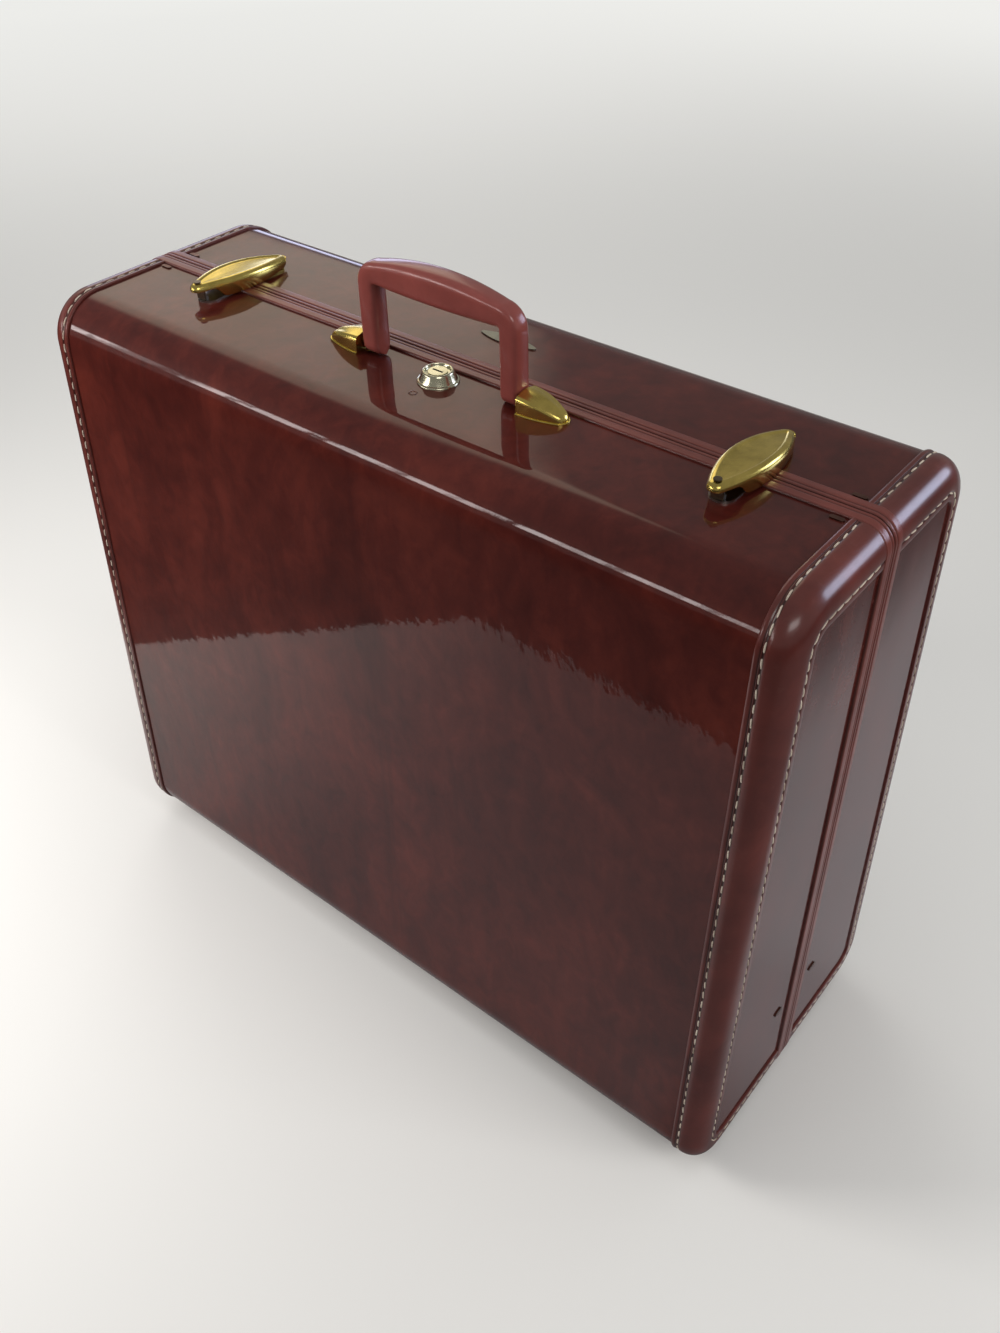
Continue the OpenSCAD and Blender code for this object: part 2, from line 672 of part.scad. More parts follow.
// Hinges, drawn at the right-hand place; the base has the two outer knuckles and the lid the middle one
module hinge_leaf(zones, cuts) difference() {
    union() {
        block([hinge_x - hinge_l / 2, -leaf_w, skin_bottom - leaf_t], [hinge_x + hinge_l / 2, 0, skin_bottom]);
        for (zone = zones) rod_x(hinge_x + zone[0], hinge_x + zone[1], 0, hinge_z, barrel_r);
    }
    for (cut = cuts)
        block([hinge_x + cut[0], -leaf_clear, 0], [hinge_x + cut[1], leaf_clear, skin_bottom + 1]);
    rod_x(0, case_l, 0, hinge_z, hinge_pin_d / 2);
}
knuckle_edge = hinge_l / 6;
outer_zones = [[-hinge_l / 2, -knuckle_edge - knuckle_gap], [knuckle_edge + knuckle_gap, hinge_l / 2]];
inner_zone = [[-knuckle_edge, knuckle_edge]];
module hinge_leaf_base() color("#a8923a") hinge_leaf(outer_zones, [[-knuckle_edge - knuckle_gap, knuckle_edge + knuckle_gap]]);
module hinge_leaf_base_left() left() hinge_leaf_base();
module hinge_leaf_base_right() hinge_leaf_base();
module hinge_leaf_lid() color("#a8923a") lid() difference() {
    hinge_leaf(inner_zone, [[-hinge_l / 2 - 1, -knuckle_edge], [knuckle_edge, hinge_l / 2 + 1]]);
    rod_x(0, case_l, 0, hinge_z, hinge_pin_d / 2 + pin_clear);
}
module hinge_leaf_lid_left() left() hinge_leaf_lid();
module hinge_leaf_lid_right() hinge_leaf_lid();
module hinge_pin() color("#8d8a84")
    rod_x(hinge_x - hinge_l / 2, hinge_x + hinge_l / 2, 0, hinge_z, hinge_pin_d / 2);
module hinge_pin_left() left() hinge_pin();
module hinge_pin_right() hinge_pin();

// Feet, staples and the bare plate
module half_feet() color("#8d8a84") both_ends() translate([foot_x, -foot_y, 0]) rotate_extrude() intersection() {
    translate([0, sqrt(foot_dome_r * foot_dome_r - foot_flat * foot_flat / 4)]) circle(foot_dome_r);
    square([foot_d / 2, skin_bottom]);
}
module half_staples() color("#5a4a3a") both_ends()
    translate([end_start - binding_lap - staple_gap - staple_l / 2, -welt_edge - staple_gap - staple_w / 2, 0])
        along_z(skin_top, skin_top + staple_t)
            link([-(staple_l - staple_w) / 2, 0], [(staple_l - staple_w) / 2, 0], staple_w);
module base_feet() half_feet();
module base_staples() half_staples();
module lid_feet() lid() half_feet();
module lid_staples() lid() half_staples();
module name_plate() color("#c9c4a8")
    translate([fittings_x, plate_y, 0]) along_z(skin_top, skin_top + plate_t) leaf(plate_l, plate_w, plate_tip_r);

// Stays: a stud in each end panel carries an arm, and the two arms meet at the knee
module stay_stud(arm_x) {
    tip = arm_x - stay_t - stay_play;
    rod_x(tip - stay_head_t, case_l / 2 - binding_t, stay_pivot[0], stay_pivot[1], stud_d / 2);
    rod_x(tip - stay_head_t, tip, stay_pivot[0], stay_pivot[1], stud_d / 2 + stay_head_t);
    rod_x(arm_x + stay_play, case_l / 2 - wall - lining_t, stay_pivot[0], stay_pivot[1], stud_d / 2 + stay_head_t);
    along_x(case_l / 2 - binding_t, case_l / 2 - binding_t + staple_t)
        link(stay_pivot - [staple_l / 2 - stud_d / 2, 0], stay_pivot + [staple_l / 2 - stud_d / 2, 0], stud_d);
}
module base_stay_studs() color("#5a4a3a") both_ends() stay_stud(base_arm_x);
module lid_stay_studs() color("#5a4a3a") lid() both_ends() stay_stud(lid_arm_x);
module base_stay() color("#b9b6ad") {
    along_x(base_arm_x - stay_t, base_arm_x) difference() {
        link(stay_pivot, stay_knee, stay_w);
        translate(stay_pivot) circle(stud_d / 2 + pin_clear);
    }
    knee_tip = lid_arm_x - stay_t - stay_play;
    rod_x(knee_tip - stay_head_t, base_arm_x - stay_t + eps, stay_knee[0], stay_knee[1], knee_d / 2);
    rod_x(knee_tip - stay_head_t, knee_tip, stay_knee[0], stay_knee[1], knee_d / 2 + stay_head_t);
}
module base_stay_left() left() base_stay();
module base_stay_right() base_stay();
module lid_stay() color("#b9b6ad") lid() along_x(lid_arm_x - stay_t, lid_arm_x) difference() {
    link(stay_pivot, stay_knee, stay_w);
    translate(stay_pivot) circle(stud_d / 2 + pin_clear);
    translate(stay_knee) circle(knee_d / 2 + knee_clear);
}
module lid_stay_left() left() lid_stay();
module lid_stay_right() lid_stay();

// Lid half
module lid_carcass() color("#6b4a33") lid() half_carcass();
module lid_cover() color("#4a1f1c") lid() half_cover();
module lid_corner_left() left() lid() base_corner();
module lid_corner_right() lid() base_corner();
module lid_end_left() left() lid() base_end();
module lid_end_right() lid() base_end();
module lid_binding_left() left() lid() base_binding();
module lid_binding_right() lid() base_binding();
module lid_welt() lid() base_welt();
module lid_lining() color("#c9b48c") difference() {
    lid() half_lining(tongue_reach + tongue_clear + 1);
    block([fittings_x - keeper_w / 2 - 1, 0, board_under - lining_t - 1],
        [fittings_x + keeper_w / 2 + 1, lug_front + keeper_l + 1, board_under + 1]);
}

base_carcass();
base_cover();
base_corner_left();
base_corner_right();
base_end_left();
base_end_right();
base_binding_left();
base_binding_right();
base_tongue();
base_welt();
base_lining();
handle_mount_left();
handle_mount_right();
handle_pin_left();
handle_pin_right();
latch_catch_left();
latch_catch_right();
lock_case();
lock_box();
hinge_leaf_base_left();
hinge_leaf_base_right();
hinge_pin_left();
hinge_pin_right();
base_feet();
base_staples();
base_stay_studs();
handle_grip();
lid_carcass();
lid_cover();
lid_corner_left();
lid_corner_right();
lid_end_left();
lid_end_right();
lid_binding_left();
lid_binding_right();
lid_welt();
lid_lining();
latch_bracket_left();
latch_bracket_right();
lock_keeper();
name_plate();
hinge_leaf_lid_left();
hinge_leaf_lid_right();
lid_feet();
lid_staples();
lid_stay_studs();
latch_lever_left();
latch_lever_right();
latch_hook_left();
latch_hook_right();
latch_pin_left();
latch_pin_right();
lock_plug();
lock_cam();
base_stay_left();
base_stay_right();
lid_stay_left();
lid_stay_right();
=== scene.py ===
"""Looks of a hard-sided travel case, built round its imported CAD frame.

Metres, +Z up. The base half is at -Y and the lid half at +Y, and the case stands on its feet.
"""

import math
import random

import bmesh
import bpy
import numpy as np
from mathutils import Matrix, Vector


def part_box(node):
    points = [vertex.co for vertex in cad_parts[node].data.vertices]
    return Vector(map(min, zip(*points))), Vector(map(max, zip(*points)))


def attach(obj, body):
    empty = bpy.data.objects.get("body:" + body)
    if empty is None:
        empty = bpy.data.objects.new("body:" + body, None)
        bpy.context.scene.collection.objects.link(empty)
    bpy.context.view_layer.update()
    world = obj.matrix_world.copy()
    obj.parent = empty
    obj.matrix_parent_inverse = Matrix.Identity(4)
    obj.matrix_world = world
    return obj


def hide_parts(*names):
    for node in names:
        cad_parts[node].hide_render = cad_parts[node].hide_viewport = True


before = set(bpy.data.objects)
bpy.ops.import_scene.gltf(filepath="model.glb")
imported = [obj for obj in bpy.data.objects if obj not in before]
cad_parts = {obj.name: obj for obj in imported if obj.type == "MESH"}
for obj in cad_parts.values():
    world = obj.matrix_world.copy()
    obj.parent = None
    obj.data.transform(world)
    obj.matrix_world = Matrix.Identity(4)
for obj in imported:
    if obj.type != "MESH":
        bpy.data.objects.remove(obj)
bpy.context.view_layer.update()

# Shell, read from the frame: ends, heights, thickness of the bindings, and the welts at the seam
binding_low, binding_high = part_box("base_binding_right")
_, cover_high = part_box("base_cover")
welt_low, welt_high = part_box("base_welt")
CASE_END = binding_high.x
ROLL_START = cover_high.x
ROLL_R = CASE_END - ROLL_START
Z_BOTTOM, Z_TOP = binding_low.z, binding_high.z
SKIN_TOP = cover_high.z
BINDING_T = Z_TOP - SKIN_TOP
BINDING_LAP = ROLL_START - binding_low.x
WELT_EDGE = -welt_low.y
WELT_RISE = welt_high.z - Z_TOP
SEAM = -welt_high.y

# Shell, as in the CAD: half depths, rounding of the long edges, and layers
HALF_BOTTOM = 0.111
HALF_TOP = 0.091
EDGE_R = 0.030
COVER_T = 0.0008
WALL_T = 0.006
LINING_T = 0.0006
BINDING_END_LAP = 0.007
LEAN = math.atan2(HALF_BOTTOM - HALF_TOP, Z_TOP - Z_BOTTOM)
EDGE_LOW = np.array([-HALF_BOTTOM + EDGE_R * (1 + math.sin(LEAN)) / math.cos(LEAN), Z_BOTTOM + EDGE_R])
EDGE_HIGH = np.array([-HALF_TOP + EDGE_R * (1 - math.sin(LEAN)) / math.cos(LEAN), Z_TOP - EDGE_R])

# Sewing: places of the two rows on a binding, and the stitches of each
ROW_ON_FACE = ROLL_R - 0.01545
ROW_ON_END = -0.01645
FACE_PITCH, FACE_STITCH = 0.0086, 0.0060
END_PITCH, END_STITCH = 0.0073, 0.0068
THREAD_R = 0.00043
GROOVE_DEPTH, GROOVE_W = 0.0005, 0.0008

# Free edge of a binding: a rounded bead and the pressed line beside it, as distances from the edge
BEAD_AT, BEAD_W, BEAD_RISE = 0.0013, 0.0009, 0.0003
LINE_AT, LINE_W, LINE_DEPTH = 0.0031, 0.00035, 0.00035

# Handle: the CAD's legs, with a padded grip that is a little fuller and flatter
LEG_W, LEG_T = 0.0135, 0.0125
GRIP_W, GRIP_T = 0.0195, 0.0160
GRIP_SLOPE = math.radians(6)
HANDLE_BEND_R = 0.0074

# Meshing
STEP = 0.008
ARC_STEPS = 24
SHARP_ANGLE = math.radians(38)

scene = bpy.context.scene


# Mesh helpers


def add_piece(name, verts, faces, material, body, replaced=(), shade=None):
    """Makes a closed, smooth piece that rides a body and stands for the CAD nodes it replaces."""
    mesh = bpy.data.meshes.new(name)
    mesh.from_pydata([tuple(v) for v in verts], [], faces)
    if shade is not None:
        layer = mesh.attributes.new("shade", "FLOAT", "POINT")
        layer.data.foreach_set("value", np.asarray(shade, dtype=np.float32))
    work = bmesh.new()
    work.from_mesh(mesh)
    bmesh.ops.remove_doubles(work, verts=work.verts, dist=1e-6)
    bmesh.ops.recalc_face_normals(work, faces=work.faces)
    work.to_mesh(mesh)
    work.free()
    mesh.shade_smooth()
    mesh.set_sharp_from_angle(angle=SHARP_ANGLE)
    mesh.materials.append(material)
    piece = bpy.data.objects.new(name, mesh)
    scene.collection.objects.link(piece)
    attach(piece, body)
    if replaced:
        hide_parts(*replaced)
    return piece


def mirrored(verts, left=False, lid=False):
    """The same points on the left end, in the lid half, or both."""
    return np.asarray(verts) * np.array([-1 if left else 1, -1 if lid else 1, 1])


def tube(rings, capped=True):
    """Points and faces of rings joined one to the next, with flat ends."""
    rings = np.asarray(rings)
    count, size = rings.shape[:2]
    faces = []
    for i in range(count - 1):
        for j in range(size):
            k = (j + 1) % size
            faces.append((i * size + j, i * size + k, (i + 1) * size + k, (i + 1) * size + j))
    if capped:
        faces.append(tuple(range(size)))
        faces.append(tuple((count - 1) * size + j for j in range(size)))
    return rings.reshape(-1, 3), faces


def slab(outer, inner):
    """Points and faces of a sheet with two sides and a rim, from two grids."""
    rows, cols = outer.shape[:2]
    half = rows * cols
    faces = []
    for i in range(rows - 1):
        for j in range(cols - 1):
            a, b = i * cols + j, i * cols + j + 1
            faces.append((a, b, b + cols, a + cols))
            faces.append((half + a, half + a + cols, half + b + cols, half + b))
    border = [j for j in range(cols)]
    border += [i * cols + cols - 1 for i in range(1, rows)]
    border += [(rows - 1) * cols + j for j in range(cols - 2, -1, -1)]
    border += [i * cols for i in range(rows - 2, 0, -1)]
    for a, b in zip(border, border[1:] + border[:1]):
        faces.append((a, half + a, half + b, b))
    return np.concatenate([outer.reshape(-1, 3), inner.reshape(-1, 3)]), faces


# Route round the front half


def stops(start):
    """Middles and ways out of the front half's profile, from the bottom seam round to the top seam."""
    middles, angles = [], []

    def straight(a, b, angle):
        count = max(1, round(np.linalg.norm(b - a) / STEP))
        for i in range(count):
            middles.append(a + (b - a) * i / count)
            angles.append(angle)

    def turn(middle, a, b):
        for i in range(ARC_STEPS):
            middles.append(middle)
            angles.append(a + (b - a) * i / ARC_STEPS)

    face = math.pi - LEAN
    last = np.array([-start, EDGE_HIGH[1]])
    straight(np.array([-start, EDGE_LOW[1]]), EDGE_LOW, 1.5 * math.pi)
    turn(EDGE_LOW, 1.5 * math.pi, face)
    straight(EDGE_LOW, EDGE_HIGH, face)
    turn(EDGE_HIGH, face, 0.5 * math.pi)
    straight(EDGE_HIGH, last, 0.5 * math.pi)
    middles.append(last)
    angles.append(0.5 * math.pi)
    angles = np.array(angles)
    return np.array(middles), np.stack([np.cos(angles), np.sin(angles)], axis=1)


def swept(start, section):
    """Rings of a section of (outward, along) points, carried along the route at the right end."""
    middles, outs = stops(start)
    rings = []
    for middle, out in zip(middles, outs):
        flat = middle + (EDGE_R + section[:, :1]) * out
        rings.append(np.column_stack([ROLL_START + section[:, 1], flat]))
    return np.array(rings)


def bent_grid(inset, start, places):
    """Grid of the front half's profile, a distance in from its outside, at places along the case."""
    middles, outs = stops(start)
    line = middles + (EDGE_R - inset) * outs
    grid = np.empty((len(line), len(places), 3))
    grid[:, :, 0] = places
    grid[:, :, 1:] = line[:, None, :]
    return grid


# Materials


def new_material(name, **sockets):
    """A Principled material with constant values set on its own sockets."""
    material = bpy.data.materials.new(name)
    material.use_nodes = True
    shader = material.node_tree.nodes["Principled BSDF"]
    for socket, value in sockets.items():
        shader.inputs[socket.replace("_", " ")].default_value = value
    return material, material.node_tree, shader


def node(tree, kind, **values):
    """Adds a node; a value named after a socket is set there, or linked if it is another node's output."""
    made = tree.nodes.new(kind)
    for key, value in values.items():
        if hasattr(made, key) and key not in made.inputs:
            setattr(made, key, value)
            continue
        socket = made.inputs[int(key[1:])] if key[0] == "i" and key[1:].isdigit() else made.inputs[key]
        if isinstance(value, bpy.types.NodeSocket):
            tree.links.new(value, socket)
        else:
            socket.default_value = value
    return made


def noise(tree, coords, scale, detail=4.0, rough=0.55, twist=0.0):
    """Noise over coordinates stretched by a scale for each axis, in cycles a metre."""
    placed = node(tree, "ShaderNodeMapping", Vector=coords, Scale=scale)
    made = node(
        tree, "ShaderNodeTexNoise", Vector=placed.outputs[0], Scale=1.0, Detail=detail,
        Roughness=rough, Distortion=twist,
    )
    return made.outputs["Fac"]


def ramp(tree, fac, stops_and_colours):
    """Colour ramp over a value."""
    made = node(tree, "ShaderNodeValToRGB", Fac=fac)
    elements = made.color_ramp.elements
    while len(elements) < len(stops_and_colours):
        elements.new(0.5)
    for element, (place, colour) in zip(elements, stops_and_colours):
        element.position = place
        element.color = (*colour, 1)
    return made.outputs["Color"]


def maths(tree, operation, a, b):
    """One sum of two values or outputs."""
    made = node(tree, "ShaderNodeMath", operation=operation, i0=a, i1=b)
    return made.outputs[0]


def mix(tree, fac, a, b, blend="MIX"):
    """Mix of two colours."""
    made = node(tree, "ShaderNodeMix", data_type="RGBA", blend_type=blend)
    for place, value in ((0, fac), (6, a), (7, b)):
        if isinstance(value, bpy.types.NodeSocket):
            tree.links.new(value, made.inputs[place])
        else:
            made.inputs[place].default_value = value
    return made.outputs[2]


def bump(tree, height, distance, strength=1.0, normal=None):
    """Bump from a height in metres."""
    made = node(tree, "ShaderNodeBump", Height=height, Distance=distance, Strength=strength)
    if normal is not None:
        tree.links.new(normal, made.inputs["Normal"])
    return made.outputs["Normal"]


def soft_step(tree, value, start, end):
    """Smooth rise from nought at the start to one at the end."""
    made = node(
        tree, "ShaderNodeMapRange", interpolation_type="SMOOTHSTEP", Value=value,
        **{"From Min": start, "From Max": end},
    )
    return made.outputs["Result"]


def object_coords(tree):
    """Coordinates that move with the piece."""
    return node(tree, "ShaderNodeTexCoord").outputs["Object"]


def lacquer_material():
    """Oxblood lacquer over hide: cloudy mottling, a few dark runs, and a glossy, faintly wavy coat."""
    material, tree, shader = new_material(
        "lacquer", Coat_Weight=1.0, Coat_Roughness=0.025, Coat_IOR=1.46, Specular_IOR_Level=0.05,
    )
    coords = object_coords(tree)
    streaks = noise(tree, coords, (30, 24, 5), detail=3, rough=0.5, twist=0.8)
    clouds = noise(tree, coords, (10, 11, 8), detail=5, rough=0.62, twist=1.4)
    mottle = noise(tree, coords, (70, 70, 50), detail=4, rough=0.62, twist=0.8)
    runs = noise(tree, coords, (36, 30, 2.6), detail=3, rough=0.55, twist=0.6)
    specks = noise(tree, coords, (420, 420, 420), detail=2)
    tone = maths(tree, "ADD", maths(tree, "MULTIPLY", streaks, 0.18), maths(tree, "MULTIPLY", clouds, 0.52))
    tone = maths(tree, "ADD", tone, maths(tree, "MULTIPLY", mottle, 0.30))
    tone = maths(tree, "ADD", tone, maths(tree, "MULTIPLY", maths(tree, "SUBTRACT", specks, 0.5), 0.06))
    colour = ramp(tree, tone, [
        (0.36, (0.036, 0.0060, 0.0048)), (0.50, (0.062, 0.0100, 0.0072)), (0.64, (0.096, 0.0160, 0.0105)),
    ])
    dark_run = ramp(tree, runs, [(0.58, (0, 0, 0)), (0.76, (0.5, 0.5, 0.5))])
    colour = mix(tree, dark_run, colour, (0.020, 0.0045, 0.004, 1))
    tree.links.new(colour, shader.inputs["Base Color"])
    rough = maths(tree, "ADD", maths(tree, "MULTIPLY", specks, 0.15), 0.30)
    tree.links.new(rough, shader.inputs["Roughness"])
    waves = noise(tree, coords, (28, 18, 11), detail=2, rough=0.5)
    pulls = noise(tree, coords, (90, 70, 45), detail=2, rough=0.55)
    creases = noise(tree, coords, (270, 240, 110), detail=2, rough=0.5)
    grain = noise(tree, coords, (900, 900, 900), detail=2)
    apart = node(tree, "ShaderNodeSeparateXYZ", Vector=coords)
    upright = soft_step(tree, apart.outputs["Z"], Z_TOP - 0.02, Z_TOP - 0.06)
    endward = maths(tree, "ABSOLUTE", apart.outputs["X"], 0.0)
    upright = maths(tree, "MULTIPLY", upright, soft_step(tree, endward, CASE_END - 0.004, CASE_END - 0.012))
    normal = bump(tree, waves, 0.00022)
    normal = bump(tree, maths(tree, "MULTIPLY", pulls, upright), 0.00012, 1.0, normal)
    normal = bump(tree, maths(tree, "MULTIPLY", creases, upright), 0.00005, 1.0, normal)
    normal = bump(tree, grain, 0.000004, 1.0, normal)
    tree.links.new(normal, shader.inputs["Coat Normal"])
    tree.links.new(normal, shader.inputs["Normal"])
    return material


def leather_material(name, dark, light, worn, roughness, coat, coat_roughness, grain_scale, grain_depth):
    """Dyed leather: cloudy tone and fine creased grain, with painted shade in the sewn grooves, the pressed
    lines and along the welts' edges.
    """
    material, tree, shader = new_material(
        name, Coat_Weight=coat, Coat_Roughness=coat_roughness, Specular_IOR_Level=0.4,
    )
    coords = object_coords(tree)
    clouds = noise(tree, coords, (22, 22, 22), detail=4, rough=0.6, twist=0.5)
    rubs = noise(tree, coords, (140, 140, 140), detail=3, rough=0.65)
    colour = ramp(tree, clouds, [(0.34, dark), (0.66, light)])
    rubbed = ramp(tree, rubs, [(0.62, (0, 0, 0)), (0.82, (0.22, 0.22, 0.22))])
    colour = mix(tree, rubbed, colour, (*worn, 1))
    # Painted shade: near-black mixed in by the shade attribute, in sewn grooves, pressed lines and welt edges
    groove = node(tree, "ShaderNodeAttribute", attribute_name="shade").outputs["Fac"]
    colour = mix(tree, groove, colour, (0.012, 0.005, 0.004, 1))
    tree.links.new(colour, shader.inputs["Base Color"])
    spread = maths(tree, "ADD", maths(tree, "MULTIPLY", rubs, 0.14), roughness - 0.07)
    tree.links.new(spread, shader.inputs["Roughness"])
    pores = node(tree, "ShaderNodeTexVoronoi", Vector=coords, Scale=grain_scale, feature="SMOOTH_F1")
    creases = noise(tree, coords, (380, 380, 380), detail=2, rough=0.5)
    normal = bump(tree, pores.outputs["Distance"], grain_depth, 0.35)
    normal = bump(tree, creases, grain_depth, 0.5, normal)
    tree.links.new(normal, shader.inputs["Normal"])
    return material


def metal_material(name, colour, tarnish, roughness, brushed=(300, 300, 300)):
    """Polished metal with a little tarnish, fine scratches and fingerprints in its gloss."""
    material, tree, shader = new_material(name, Metallic=1.0)
    coords = object_coords(tree)
    patches = noise(tree, coords, (90, 90, 90), detail=4, rough=0.6)
    lines = noise(tree, coords, brushed, detail=2)
    tone = ramp(tree, patches, [(0.40, colour), (0.72, tarnish)])
    tree.links.new(tone, shader.inputs["Base Color"])
    spread = maths(tree, "ADD", maths(tree, "MULTIPLY", patches, 0.12), roughness - 0.05)
    tree.links.new(spread, shader.inputs["Roughness"])
    tree.links.new(bump(tree, lines, 0.00002, 0.3), shader.inputs["Normal"])
    return material


def thread_material():
    """Cream linen thread, twisted and a little dirty."""
    material, tree, shader = new_material("thread", Roughness=0.75, Specular_IOR_Level=0.2)
    coords = object_coords(tree)
    dirt = noise(tree, coords, (45, 45, 45), detail=4, rough=0.65)
    colour = ramp(tree, dirt, [
        (0.35, (0.32, 0.25, 0.20)), (0.55, (0.58, 0.50, 0.41)), (0.75, (0.72, 0.65, 0.55)),
    ])
    tree.links.new(colour, shader.inputs["Base Color"])
    twist = node(
        tree, "ShaderNodeTexWave", Vector=coords, Scale=700.0, Distortion=1.0, bands_direction="DIAGONAL",
    )
    tree.links.new(bump(tree, twist.outputs["Fac"], 0.00012, 0.7), shader.inputs["Normal"])
    return material


def lining_material():
    """Woven lining: two sets of threads and a faint stripe."""
    material, tree, shader = new_material(
        "lining", Roughness=0.62, Specular_IOR_Level=0.3, Sheen_Weight=0.25, Sheen_Roughness=0.4,
    )
    coords = object_coords(tree)
    warp = node(tree, "ShaderNodeTexWave", Vector=coords, Scale=330.0, bands_direction="X").outputs["Fac"]
    across = node(tree, "ShaderNodeMapping", Vector=coords, Rotation=(math.radians(45), 0, 0)).outputs[0]
    weft = node(tree, "ShaderNodeTexWave", Vector=across, Scale=330.0, bands_direction="Z").outputs["Fac"]
    stripe = node(tree, "ShaderNodeTexWave", Vector=coords, Scale=14.0, bands_direction="X").outputs["Fac"]
    blotch = noise(tree, coords, (12, 12, 12), detail=4)
    base = ramp(tree, blotch, [(0.35, (0.40, 0.30, 0.18)), (0.65, (0.52, 0.41, 0.26))])
    band = ramp(tree, stripe, [(0.80, (0, 0, 0)), (0.90, (0.35, 0.35, 0.35))])
    colour = mix(tree, band, base, (0.33, 0.19, 0.11, 1))
    weave = maths(tree, "MULTIPLY", warp, weft)
    shade = ramp(tree, weave, [(0.0, (0.72, 0.72, 0.72)), (0.6, (1, 1, 1))])
    tree.links.new(mix(tree, 1.0, colour, shade, "MULTIPLY"), shader.inputs["Base Color"])
    tree.links.new(bump(tree, weave, 0.0002, 0.6), shader.inputs["Normal"])
    return material


def board_material():
    """Fibreboard of the shell, seen at its edges when the case is open."""
    material, tree, shader = new_material("board", Roughness=0.8, Specular_IOR_Level=0.2)
    coords = object_coords(tree)
    fibres = noise(tree, coords, (700, 700, 120), detail=5, rough=0.7)
    colour = ramp(tree, fibres, [(0.3, (0.13, 0.075, 0.042)), (0.7, (0.27, 0.17, 0.10))])
    tree.links.new(colour, shader.inputs["Base Color"])
    tree.links.new(bump(tree, fibres, 0.0003, 0.6), shader.inputs["Normal"])
    return material


LACQUER = lacquer_material()
BINDING = leather_material(
    "binding_leather", (0.072, 0.0135, 0.0105), (0.120, 0.0230, 0.0170), (0.18, 0.07, 0.055),
    0.35, 0.8, 0.17, 1600.0, 0.00004,
)
WELT = leather_material(
    "welt_leather", (0.115, 0.0260, 0.0200), (0.165, 0.0390, 0.0300), (0.20, 0.09, 0.075),
    0.34, 0.5, 0.20, 1900.0, 0.00003,
)
HANDLE = leather_material(
    "handle_leather", (0.190, 0.0430, 0.0360), (0.270, 0.0650, 0.0540), (0.30, 0.10, 0.085),
    0.34, 0.8, 0.13, 1300.0, 0.00004,
)
BRASS = metal_material("brass", (0.90, 0.73, 0.20), (0.66, 0.53, 0.14), 0.20)
NICKEL = metal_material("nickel", (0.78, 0.78, 0.57), (0.54, 0.54, 0.38), 0.17)
# Name plate: rough metal, its colour darkened and tinted green as a painted dark reflection
DULL_PLATE_PAINTED_DARK = metal_material("dull_plate_painted_dark", (0.30, 0.31, 0.25), (0.20, 0.20, 0.16), 0.34)
STEEL = metal_material("steel", (0.44, 0.42, 0.39), (0.26, 0.25, 0.23), 0.30)
DARK_STEEL = metal_material("dark_steel", (0.22, 0.18, 0.12), (0.12, 0.10, 0.07), 0.36)
BRONZE = metal_material("bronze", (0.20, 0.11, 0.085), (0.11, 0.06, 0.048), 0.30)
THREAD = thread_material()
LINING = lining_material()
BOARD = board_material()


# Shell


def make_covers():
    """Lacquered sheet of each half."""
    places = np.linspace(-ROLL_START, ROLL_START, 40)
    outer = bent_grid(BINDING_T, SEAM, places)
    inner = bent_grid(BINDING_T + COVER_T, SEAM, places)
    verts, faces = slab(outer, inner)
    for half in ("base", "lid"):
        add_piece(
            f"{half}_cover_sheet", mirrored(verts, lid=half == "lid"), faces, LACQUER, half,
            [f"{half}_cover"],
        )


def binding_section():
    """Section of a binding as (outward, along) points, and how much painted shade each gets from lying in the
    sewn groove or the pressed line.
    """
    edge = BINDING_T * 0.45
    face_step, end_step = 0.0002, 0.0003
    points, painted_shade = [], []

    def add(out, along, groove=0.0):
        points.append((out, along))
        painted_shade.append(groove)

    def bell(distance, width):
        return math.exp(-(distance / width) ** 2)

    add(-BINDING_T, -BINDING_LAP)
    for i in range(5):
        a = math.radians(180 - 90 * i / 4)
        add(-edge + edge * math.sin(a), -BINDING_LAP + edge + edge * math.cos(a))
    # The sewn groove and the pressed line also get painted shade in the leather's colour
    for along in np.arange(-BINDING_LAP + edge + face_step, -0.1 * face_step, face_step):
        groove = bell(along - ROW_ON_FACE, GROOVE_W)
        place = along + BINDING_LAP
        line = bell(place - LINE_AT, LINE_W)
        rise = BEAD_RISE * bell(place - BEAD_AT, BEAD_W) - LINE_DEPTH * line
        add(rise - GROOVE_DEPTH * groove, along, max(groove, line))
    for i in range(17):
        a = math.radians(90 * i / 16)
        add(ROLL_R * math.cos(a) - ROLL_R, ROLL_R * math.sin(a))
    far = -ROLL_R - BINDING_END_LAP
    for out in np.arange(-ROLL_R - end_step, far + 2 * edge, -end_step):
        groove = bell(out - ROW_ON_END, GROOVE_W)
        add(out, ROLL_R - GROOVE_DEPTH * groove, groove)
    for i in range(5):
        a = math.radians(90 - 90 * i / 4)
        add(far + edge - edge * math.cos(a), ROLL_R - edge + edge * math.sin(a))
    add(far, ROLL_R - BINDING_T)
    for i in range(9):
        a = math.radians(90 - 90 * i / 8)
        r = ROLL_R - BINDING_T
        add(r * math.cos(a) - ROLL_R, r * math.sin(a))
    return np.array(points), np.array(painted_shade)


def make_bindings():
    """Leather binding over each rolled end."""
    section, painted_shade = binding_section()
    rings = swept(WELT_EDGE - 0.001, section)
    verts, faces = tube(rings)
    # Painted shade in the grooves, carried to the leather's colour as the shade attribute
    shade = np.tile(painted_shade * 0.85, len(rings))
    for half in ("base", "lid"):
        for side in ("left", "right"):
            add_piece(
                f"{half}_binding_leather_{side}", mirrored(verts, side == "left", half == "lid"), faces,
                BINDING, half, [f"{half}_binding_{side}"], shade,
            )


